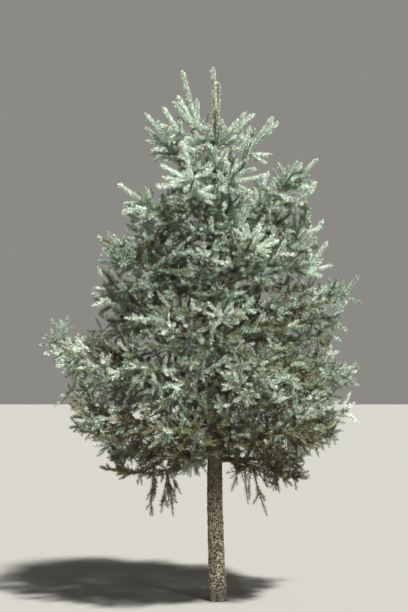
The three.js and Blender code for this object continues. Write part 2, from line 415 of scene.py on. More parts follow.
trunkRings = readTrunk()
trunkLevels = [ring[0] for ring in trunkRings]
trunkTable = [
    [ring[1][0] for ring in trunkRings],
    [ring[1][1] for ring in trunkRings],
    [ring[3].mean() for ring in trunkRings],
]


def trunkAt(height):  # the trunk's centre and radius at a height
    side, back, radius = [float(np.interp(height, trunkLevels, row)) for row in trunkTable]
    return Vector((side, back, height)), radius


def trunkDistance(points):  # of each point from the trunk's middle
    return np.array([math.hypot(*(p[:2] - np.array(trunkAt(p[2])[0])[:2])) for p in points])


def smoothPath(stops, step=reading["step"]):  # a Catmull-Rom curve through the stops, cut into even steps
    ends = [stops[0] * 2 - stops[1], *stops, stops[-1] * 2 - stops[-2]]
    fine = []
    for a, b, c, d in zip(ends, ends[1:], ends[2:], ends[3:]):
        square = 2 * a - 5 * b + 4 * c - d
        cube = 3 * b - a - 3 * c + d
        for i in range(reading["bits"]):
            t = i / reading["bits"]
            fine.append(0.5 * ((2 * b) + (c - a) * t + square * t**2 + cube * t**3))
    fine.append(stops[-1])
    lengths = np.cumsum([0] + [(q - p).length for p, q in zip(fine, fine[1:])])
    count = max(2, round(lengths[-1] / step) + 1)
    wanted = np.linspace(0, lengths[-1], count)
    array = np.array([list(p) for p in fine])
    return [Vector([np.interp(w, lengths, array[:, i]) for i in range(3)]) for w in wanted]


def massPath(name, end):  # from the trunk's centre through the bough's end and the mass's middle to its tip
    points = nodePoints(name)
    bough = name.replace("foliage", "bough")
    stops = []
    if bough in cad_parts:
        limb = nodePoints(bough)
        away = trunkDistance(limb)
        stops.append(trunkAt(limb[away < away.min() + reading["boughRoot"]][:, 2].mean())[0])
        stops.append(Vector(limb[away > away.max() - reading["boughEnd"]].mean(0)))
    else:
        away = trunkDistance(points)
        stops.append(trunkAt(points[away < away.min() + reading["boughEnd"]][:, 2].mean())[0])
    root = np.array(stops[0])
    tip = np.array(end) if end else points[np.argmax(np.linalg.norm(points - root, axis=1))]
    along = (points - root) @ (tip - root) / np.sum((tip - root) ** 2)
    slab = points[(along > reading["middle"][0]) & (along < reading["middle"][1])]
    middle = (slab.min(0) + slab.max(0)) / 2
    middle[2] += reading["middleRise"] * (slab[:, 2].max() - slab[:, 2].min())
    return smoothPath([*stops, Vector(middle), Vector(tip)])


def leaderPath(name):  # up through the middle of an upright mass
    points = nodePoints(name)
    low, high = points[:, 2].min(), points[:, 2].max()
    first, last = reading["leader"][0], reading["leader"][-1]
    stops = []
    for share in reading["leader"]:
        level = low + (high - low) * share
        slab = points[np.abs(points[:, 2] - level) < reading["leaderSlab"] * (high - low)]
        centre = (slab.min(0) + slab.max(0)) / 2
        stretched = (share - first) / (last - first)
        stops.append(Vector((centre[0], centre[1], low + (high - low) * stretched)))
    return smoothPath(stops)


class Room:  # how far a point is inside a mass, negative outside
    def __init__(self, name):
        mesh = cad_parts[name].data
        corners = [v.co for v in mesh.vertices]
        self.skin = BVHTree.FromPolygons(corners, [tuple(p.vertices) for p in mesh.polygons])

    def __call__(self, point):
        place, normal, _, distance = self.skin.find_nearest(point)
        return distance if (place - point).dot(normal) > 0 else -distance


def seenInside(name, room, across, down):  # deepest inside a mass along the line of sight
    front, back = [corner[1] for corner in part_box(name)]
    steps = reading["sightSteps"]
    places = [seen(across, down, front + (back - front) * i / steps) for i in range(steps + 1)]
    return max(places, key=room)


# Needles' sizes, as the growth sets how many each shoot gets
needle = {
    "length": 0.0235,
    "width": 0.0045,
    "tipWidth": 0.0026,
    "fold": 0.001,
    "spacing": (0.00165, 0.00098),  # along a shoot, low in the crown and at its top
    "spacingHeights": (1.5, 2.8),
    "spacingRange": (0.9, 1.12),
    "olderSpacing": 0.9,  # added for each year over one
    "deepSpacing": 2.5,  # times that, deep in the crown
    "size": (0.6, 2.6),  # a part of each needle's size, and one that goes with the year's length
    "sizeRange": (0.88, 1.1),
    "deepSize": 1.25,
    "evenness": (0.8, 1.1),
    "turn": 2.39996,  # the golden angle between one needle and the next
    "tiltAtFoot": 54,
    "tiltAtTip": 26,
    "tiltSpread": (-0.16, 0.16),
    "tipSpan": 0.024,  # last stretch of a shoot, where its needles close round the bud
    "tipCurve": 1.5,
    "tipShrink": 0.25,
    "lift": 0.14,
    "roll": (0.0, 6.2832),
    "seed": 5,
}

# Growth
growth = {
    "seed": 41,
    "steps": 3,  # straight bits in one year's shoot of a bough, one less on what grows from it
    "year": (0.09, 0.195),  # one year's length on a main axis, low in the crown and at its top
    "yearHeights": (1.0, 3.1),
    "yearBend": 1.6,
    "orderLength": [1.0, 0.95, 0.88, 0.8, 0.74],  # the same on side axes, as shares of it
    "sideAngle": [50, 48, 46, 44],  # degrees between an axis and what grows from it
    "sideShare": [0.8, 0.7, 0.6, 0.5],  # years a side axis gets, of those its parent has left
    "yearRange": (0.75, 1.15),
    "shortShare": 0.66,  # of its length that a shoot gets where it would stand out too far
    "middle": 0.55,  # along a shoot, the point that keeps its distance from the others
    "lift": 0.08,  # how strongly an axis turns up in a year
    "wobble": 0.02,
    "roll": 26,  # degrees that side axes may leave the flat of their parent's fan
    "angleSpread": 6,
    "top": [0.95, 0.85, 0.6, 0.3],  # chance of a shoot on the upper side of a node
    "under": [0.8, 0.6, 0.4, 0.2],
    "uprightShare": 0.6,  # years that these get, as a share of a side axis's
    "uprightAngle": 0.95,
    "between": [0.7, 0.5, 0.3, 0.15],  # chance of a small shoot between two nodes
    "betweenRoll": (-1.2, 1.2),
    "betweenAngle": 1.1,
    "extra": 4,  # more shoots round a node at the crown's top
    "extraHeights": (2.3, 2.8),
    "extraTurns": (0, 6.28),
    "extraAngles": (30, 64),
    "deepest": 3,  # order from which side shoots are of one year only
    "overshoot": (0.005, 0.05),  # how far a spray may stand out of the crown
    "highOvershoot": 0.085,  # added to that at the crown's top
    "overshootHeights": (2.0, 3.0),
    "stray": 0.12,  # and out of its own mass, inside the crown
    "deepHeights": (1.1, 1.5),
    "deep": (0.1, 0.19),  # depth from which shoots are in the shade, with fewer and longer needles and the dark tone as painted shade
    "deepBelow": 2.45,
    "lowShadeHeights": (1.04, 1.38),  # heights between which shoots take darker tones downwards, as painted shade of the low crown, and their shares
    "lowShadeShares": (1.0, 0.06),
    "shell": (0.12, 0.42),  # depths behind the crown's outside between which growth thins out
    "crowding": (0.285, 0.5),  # least gap between shoots before and behind these, in years' lengths
    "highCrowding": 0.03,  # added to the first at the crown's top, where each shoot shows
    "crowdingHeights": (2.5, 3.1),
    "spraysLift": (0.6, 1.2),  # of a mass's sprays, and more where the mass itself rises
    "outer": 0.01,  # furthest that a limb's end may be outside the crown
    "limbDepths": (-0.03, 0.05),  # in a mass, where the limbs that leave its bough end
    "limbGap": 1.7,  # gap between their ends, in years' lengths
    "limbClear": 0.7,
    "limbTries": 400,
    "limbLeast": 10,  # points of the shortest limb
    "limbStart": 12,  # first part of a bough that stays without limbs, one in this many
    "limbBend": (0.08, 0.06),  # along the bough and down
    "fillDepths": (-0.08, 0.3),
    "fillGap": 0.54,
    "fillTries": 1400,
    "fillReach": (0.5, 2.6),  # nearest and furthest start of a filling limb, in years' lengths
    "fillTurn": 1.6,  # the lower this is, the more it goes on in its parent's direction
    "fillBend": (0.07, 0.05),
    "toldFrosted": (0.35, 1.0),  # chance that a told spray is frosted, by height: rising towards the top, partly the paler new growth and partly a painted highlight
    "toldHeights": (1.8, 2.8),
    "toldSpread": 0.04,  # in depth, among the shoots of a told spray
    "toldSag": 0.04,
    "toldOlder": (1, 2),  # years that a told node's limb is older than a new shoot, by height
    "oldest": 4,  # years that needles stay on
    "twigRadius": 0.0021,
    "yearRadius": 0.0009,
}
toneWeights = {  # by whorl: paler towards the top and darker low down, partly the needles' own colour and partly painted highlight and shade
    "leader": {"frosted": 3, "blue": 4, "tan": 2},
    "side": {"frosted": 5, "blue": 3},
    "second": {"frosted": 3, "blue": 4, "tan": 2},
    "1": {"frosted": 6, "blue": 3},
    "2": {"frosted": 6, "blue": 4, "teal": 1},
    "3": {"frosted": 5, "blue": 6, "teal": 2},
    "4": {"frosted": 3, "blue": 7, "teal": 3},
    "5": {"frosted": 3, "blue": 7, "teal": 3, "olive": 1},
    "6": {"frosted": 3, "blue": 6, "teal": 4, "olive": 1},
    "7": {"frosted": 2, "blue": 6, "teal": 5, "olive": 1},
    "8": {"blue": 2, "teal": 4, "olive": 4, "yellowed": 1},
}
# painted shade: the darker tone that each tone turns into low in the crown
lowShadeTones = {"frosted": "teal", "blue": "olive", "teal": "shade", "olive": "shade"}
olderTones = {"frosted": "blue", "blue": "teal"}
massNames = sorted(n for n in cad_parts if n.startswith("foliage"))


def whorlOf(name):
    return name.split("_")[1]


def yearAt(height):
    low, high = growth["year"]
    return low + (high - low) * ramp(height, growth["yearHeights"]) ** growth["yearBend"]


outline = {"low": 0.7, "step": 0.03, "rows": 100, "turns": 48, "far": 1.8, "closeRows": 5, "closeTurns": 2}


class Outside:  # how deep a point lies behind the crown's outside, measured towards the trunk
    def __init__(self, names):
        corners = []
        faces = []
        for name in names:
            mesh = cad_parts[name].data
            start = len(corners)
            corners += [v.co for v in mesh.vertices]
            faces += [tuple(start + v for v in p.vertices) for p in mesh.polygons]
        skin = BVHTree.FromPolygons(corners, faces)
        self.low = outline["low"]
        self.step = outline["step"]
        self.turns = outline["turns"]
        self.table = []
        for row in range(outline["rows"]):
            centre = trunkAt(self.low + row * self.step)[0]
            line = []
            for k in range(self.turns):
                out = outward(2 * math.pi * k / self.turns)
                hit = skin.ray_cast(centre + out * outline["far"], -out)[0]
                line.append((hit - centre).length if hit else 0.0)
            self.table.append(line)

    def __call__(self, point):
        row = min(max(round((point.z - self.low) / self.step), 0), len(self.table) - 1)
        offset = point - trunkAt(point.z)[0]
        turn = math.atan2(offset.y, offset.x) / (2 * math.pi)
        return self.table[row][round(turn * self.turns) % self.turns] - math.hypot(offset.x, offset.y)

    def swept(self, choose):  # each value replaced by the largest or smallest one round it
        table = np.array(self.table)
        down, across = outline["closeRows"], outline["closeTurns"]
        padded = np.pad(table, ((down, down), (0, 0)), "edge")
        shifts = [
            np.roll(padded[i:i + len(table)], k, axis=1)
            for i in range(2 * down + 1)
            for k in range(-across, across + 1)
        ]
        self.table = choose(shifts, axis=0).tolist()


rooms = {name: Room(name) for name in massNames}
depthAt = Outside(massNames)
hollowDepth = Outside(massNames)  # the same with the gaps between the tiers closed
hollowDepth.swept(np.max)
hollowDepth.swept(np.min)


class Crown:
    def __init__(self):
        self.shoots = []
        self.boughs = []
        self.tips = []
        self.cells = {}
        self.cellSize = growth["year"][1] * growth["crowding"][1]
        self.waiting = deque()

    def gapAt(self, point):
        near, far = growth["crowding"]
        near += growth["highCrowding"] * ramp(point.z, growth["crowdingHeights"])
        return yearAt(point.z) * (near + (far - near) * ramp(depthAt(point), growth["shell"]))

    def nearest(self, point):  # distance to the nearest shoot, within one cell
        home = [math.floor(x / self.cellSize) for x in point]
        best = self.cellSize
        for i in (-1, 0, 1):
            for j in (-1, 0, 1):
                for k in (-1, 0, 1):
                    for other in self.cells.get((home[0] + i, home[1] + j, home[2] + k), ()):
                        best = min(best, (other - point).length)
        return best

    def allowed(self, point, room, overshoot):
        inside = room(point)
        return inside > -overshoot or (depthAt(point) > -overshoot and inside > -growth["stray"])

    def settle(self, point):
        self.cells.setdefault(tuple(math.floor(x / self.cellSize) for x in point), []).append(point)

    def pickTone(self, rng, whorl):
        weights = toneWeights[whorl]
        return rng.choices(list(weights), list(weights.values()))[0]

    def addShoot(self, mass, points, age, spray, rng):
        place = points[-1]
        shaded = depthAt(place) > np.interp(place.z, growth["deepHeights"], growth["deep"])
        deep = shaded and place.z < growth["deepBelow"] and not spray.get("told")
        tone = spray["tone"]
        # painted shade: low in the crown, shoots take darker, browner tones
        lowShade = rng.random() < np.interp(place.z, growth["lowShadeHeights"], growth["lowShadeShares"])
        if lowShade and not spray.get("told"):
            tone = lowShadeTones.get(tone, tone)
        # painted shade: deep shoots take the dark shade tone; shoots of two years take a darker tone and
        # older ones the shade tone, as old needles darken
        if deep or age > 2:
            tone = "shade"
        elif age > 1:
            tone = olderTones.get(tone, "shade")
        low, high = needle["spacing"]
        spacing = low + (high - low) * ramp(points[0].z, needle["spacingHeights"])
        spacing *= 1 + needle["olderSpacing"] * max(0, age - 1)
        spacing *= needle["deepSpacing"] if deep else 1
        spacing *= rng.uniform(*needle["spacingRange"])
        size, sizeByYear = needle["size"]
        bristle = rng.uniform(*needle["sizeRange"]) * (size + sizeByYear * yearAt(points[0].z))
        start = growth["twigRadius"] + growth["yearRadius"] * (age + 1)
        end = growth["twigRadius"] + growth["yearRadius"] * age
        self.shoots.append({
            "mass": mass,
            "points": points,
            "age": age,
            "tone": toneNames.index(tone),
            "spacing": spacing / spray.get("thin", 1.0),
            "bristle": bristle * (needle["deepSize"] if deep else 1),
            "thick": [start + (end - start) * i / (len(points) - 1) for i in range(len(points))],
        })
        if age == 0 and not deep:
            self.tips.append({"point": place, "aim": (place - points[-2]).normalized()})

    def layAxis(self, mass, rng, line, order, spray, years=None, older=0):  # an axis along a given line
        length = sum((q - p).length for p, q in zip(line, line[1:]))
        years = years or max(1, round(length / (spray["year"] * growth["orderLength"][order])))
        last = len(line) - 1
        for i in range(years):
            steps = growth["steps"]
            points = [line[round(last * (i + k / steps) / years)].copy() for k in range(steps + 1)]
            age = years - 1 - i + older
            self.settle(points[1].lerp(points[2], 0.5))
            if age <= growth["oldest"]:
                self.addShoot(mass, points, age, spray, rng)
            if age:
                heading = (points[-1] - points[-2]).normalized()
                self.waiting.append((points, heading, age, order, spray))

    def growAxis(self, mass, rng, place, heading, years, order, room, spray):
        pieces = []
        heading = heading.copy()
        steps = growth["steps"] - 1
        for year in range(years):
            length = spray["year"] * growth["orderLength"][order] * rng.uniform(*growth["yearRange"])
            lineTo = []
            for k in range(steps):
                wobble = Vector((rng.gauss(0, 1), rng.gauss(0, 1), rng.gauss(0, 1))) * growth["wobble"]
                heading = (heading + skyward * growth["lift"] / steps * spray["lift"] + wobble).normalized()
                lineTo.append((lineTo[-1] if lineTo else Vector()) + heading * length / steps)
            for share in (1.0, growth["shortShare"]):
                points = [place] + [place + step * share for step in lineTo]
                if self.allowed(points[-1], room, spray["overshoot"]):
                    break
            else:
                break
            middle = points[0].lerp(points[-1], growth["middle"])
            if self.nearest(middle) < self.gapAt(middle):
                break
            self.settle(middle)
            pieces.append((points, heading.copy()))
            place = points[-1]
        for index, (points, direction) in enumerate(pieces):
            age = len(pieces) - 1 - index
            self.addShoot(mass, points, age, spray, rng)
            if age:
                self.waiting.append((points, direction, age, order, spray))

    def ownSpray(self, rng, spray):  # the same with a tone and an overshoot of its own
        tone = self.pickTone(rng, spray["whorl"])
        return {**spray, "tone": tone, "overshoot": spray["high"] + rng.uniform(*growth["overshoot"])}

    def branch(self, mass, rng, room, points, heading, age, order, spray):
        up = spray["up"]
        up = (up - heading * up.dot(heading)).normalized()
        across = up.cross(heading).normalized()
        node = points[-1]
        lead = min(order, growth["deepest"])
        years = 1 if order >= growth["deepest"] else max(1, round(age * growth["sideShare"][order]))
        upright = max(1, round(years * growth["uprightShare"]))
        nextOrder = min(order + 1, growth["deepest"] + 1)

        def throw(start, turnAxis, degrees, years):
            degrees += rng.gauss(0, growth["angleSpread"])
            aim = Quaternion(turnAxis, math.radians(degrees)) @ heading
            given = self.ownSpray(rng, spray) if order == 0 else spray
            self.growAxis(mass, rng, start, aim, years, nextOrder, room, given)

        for side in (1, -1):
            tilted = Quaternion(heading, math.radians(rng.gauss(0, growth["roll"]))) @ up
            throw(node, tilted, side * growth["sideAngle"][lead], years)
        for chance, side in ((growth["top"], -1), (growth["under"], 1)):
            if rng.random() < chance[lead]:
                tilted = Quaternion(heading, math.radians(rng.gauss(0, growth["roll"]))) @ across
                throw(node, tilted, side * growth["sideAngle"][lead] * growth["uprightAngle"], upright)
        extra = round(growth["extra"] * ramp(node.z, growth["extraHeights"]))
        for number in range(extra if order < 2 else 0):
            turnAxis = Quaternion(heading, rng.uniform(*growth["extraTurns"])) @ up
            throw(node, turnAxis, rng.uniform(*growth["extraAngles"]), 1)
        for side in (1, -1):
            if rng.random() < growth["between"][lead]:
                turnAxis = Quaternion(heading, rng.uniform(*growth["betweenRoll"])) @ up
                degrees = side * growth["sideAngle"][lead] * growth["betweenAngle"]
                throw(points[len(points) // 2], turnAxis, degrees, 1)

    def growOn(self, mass, rng, room):  # side shoots of everything laid so far, lower orders first
        while self.waiting:
            self.branch(mass, rng, room, *self.waiting.popleft())

    def scatter(self, rng, name, room, tries, gap, depths):  # points spread through a mass
        least, most = depths
        low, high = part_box(name)
        found = []
        for number in range(tries):
            point = Vector([rng.uniform(float(a) + least, float(b) - least) for a, b in zip(low, high)])
            if not least < room(point) < most or depthAt(point) < -growth["outer"]:
                continue
            if all((point - other).length > gap for other in found):
                found.append(point)
        return found

    def bentLine(self, start, end, heading, bend):  # sets off along a heading and sags a little
        span = (end - start).length
        middle = start.lerp(end, 0.5) + heading * span * bend[0] - skyward * span * bend[1]
        return smoothPath([start, middle, end])

    def limbLine(self, path, target):  # leaves a bough at about 45 degrees and turns up to its end
        closest = min(range(len(path)), key=lambda i: (path[i] - target).length)
        back = (path[closest] - target).length
        start = max(len(path) // growth["limbStart"], closest - round(back / reading["step"]))
        along = (path[min(start + 3, len(path) - 1)] - path[max(start - 1, 0)]).normalized()
        return self.bentLine(path[start], target, along, growth["limbBend"])

    def growMass(self, name):
        whorl = whorlOf(name)
        rng = random.Random(f"{growth['seed']} {name}")
        room = rooms[name]
        told = toldSprays.get(name, [])
        nodes = [seenInside(name, room, *node) for node, tips in told]
        path = leaderPath(name) if name in uprights else massPath(name, nodes[0] if told else None)
        out = (path[-1] - path[0]).normalized()
        across = out.cross(Vector((0.01, -0.02, 1))).normalized()
        up = across.cross(out).normalized()
        if up.z < 0:
            up = -up
        year = yearAt(path[0].z)
        high = growth["highOvershoot"] * ramp(path[0].z, growth["overshootHeights"])
        lift, liftByRise = growth["spraysLift"]
        spray = {
            "tone": self.pickTone(rng, whorl),
            "overshoot": growth["overshoot"][1] + high,
            "high": high,
            "lift": lift + liftByRise * max(0.0, out.z),
            "year": year,
            "whorl": whorl,
            "up": up,
        }
        self.boughs.append({"mass": name, "points": path, "order": 0})
        if name in uprights:
            self.growLeader(name, rng, path, spray)
            return
        self.layAxis(name, rng, path, 0, spray, older=self.olderAt(path[-1].z) if told else 0)
        for node, (_, tips) in zip(nodes, told):
            self.growTold(name, rng, path, node, tips, spray)
        first = len(self.shoots)
        gap = year * growth["limbGap"]
        for target in self.scatter(rng, name, room, growth["limbTries"], gap, growth["limbDepths"]):
            if depthAt(target) > growth["shell"][1] or self.nearest(target) < year * growth["limbClear"]:
                continue
            line = self.limbLine(path, target)
            if len(line) < growth["limbLeast"]:
                continue
            self.boughs.append({"mass": name, "points": line, "order": 1})
            self.layAxis(name, rng, line, 1, {**spray, "tone": self.pickTone(rng, whorl)})
        self.growOn(name, rng, room)
        gap = year * growth["fillGap"]
        targets = self.scatter(rng, name, room, growth["fillTries"], gap, growth["fillDepths"])
        for target in sorted(targets, key=depthAt, reverse=True):
            if depthAt(target) > growth["shell"][1] or self.nearest(target) < gap:
                continue
            own = self.ownSpray(rng, spray)
            older = [s for s in self.shoots[first:] if s["age"] > 0 and s["mass"] == name]
            self.growTowards(name, rng, target, older, room, own, growth["fillReach"][1])

    def growTowards(self, name, rng, target, older, room, spray, reach):  # from the best placed older shoot
        year = spray["year"]
        best = None
        for shoot in older:
            for start in shoot["points"][1:]:
                span = (target - start).length
                if not year * growth["fillReach"][0] < span < year * reach:
                    continue
                heading = (shoot["points"][-1] - shoot["points"][0]).normalized()
                cost = span * (growth["fillTurn"] - (target - start).normalized().dot(heading))
                if best is None or cost < best[0]:
                    best = (cost, start, heading)
        if best is None:
            return False
        _, start, heading = best
        self.layAxis(name, rng, self.bentLine(start, target, heading, growth["fillBend"]), 2, spray)
        self.growOn(name, rng, room)
        return True

    def olderAt(self, height):  # a told limb shows more of its wood high in the crown
        return round(float(np.interp(height, growth["toldHeights"], growth["toldOlder"])))

    def growTold(self, name, rng, path, node, tips, spray):  # one node with its year's shoots
        # partly painted highlight: high told sprays are more often frosted
        chance = np.interp(node.z, growth["toldHeights"], growth["toldFrosted"])
        given = {**spray, "tone": "frosted" if rng.random() < chance else "blue", "told": True}
        if (path[-1] - node).length > reading["step"]:
            line = self.limbLine(path, node)
            self.boughs.append({"mass": name, "points": line, "order": 1})
            self.layAxis(name, rng, line, 1, given, older=self.olderAt(node.z))
        for across, down in tips:
            tip = seen(across, down, node.y + rng.gauss(0, growth["toldSpread"]))
            sag = skyward * (tip - node).length * growth["toldSag"]
            self.layAxis(name, rng, smoothPath([node, node.lerp(tip, 0.5) - sag, tip]), 2, given, 1)

    def growLeader(self, name, rng, path, spray):
        for fan in leaderFans[name]:
            root = path[round(fan["at"] * (len(path) - 1))]
            tip = root + Vector(fan["reach"]) if "reach" in fan else path[-1]
            middle = root.lerp(tip, 0.5) + Vector(fan.get("bow", (0, 0, 0)))
            line = smoothPath([root, middle, tip]) if "reach" in fan else path[path.index(root):]
            given = {**spray, "tone": fan["tone"], "thin": fan.get("thin", 1.0)}
            self.layAxis(name, rng, line, 0, given, fan["years"])
            self.waiting.clear()


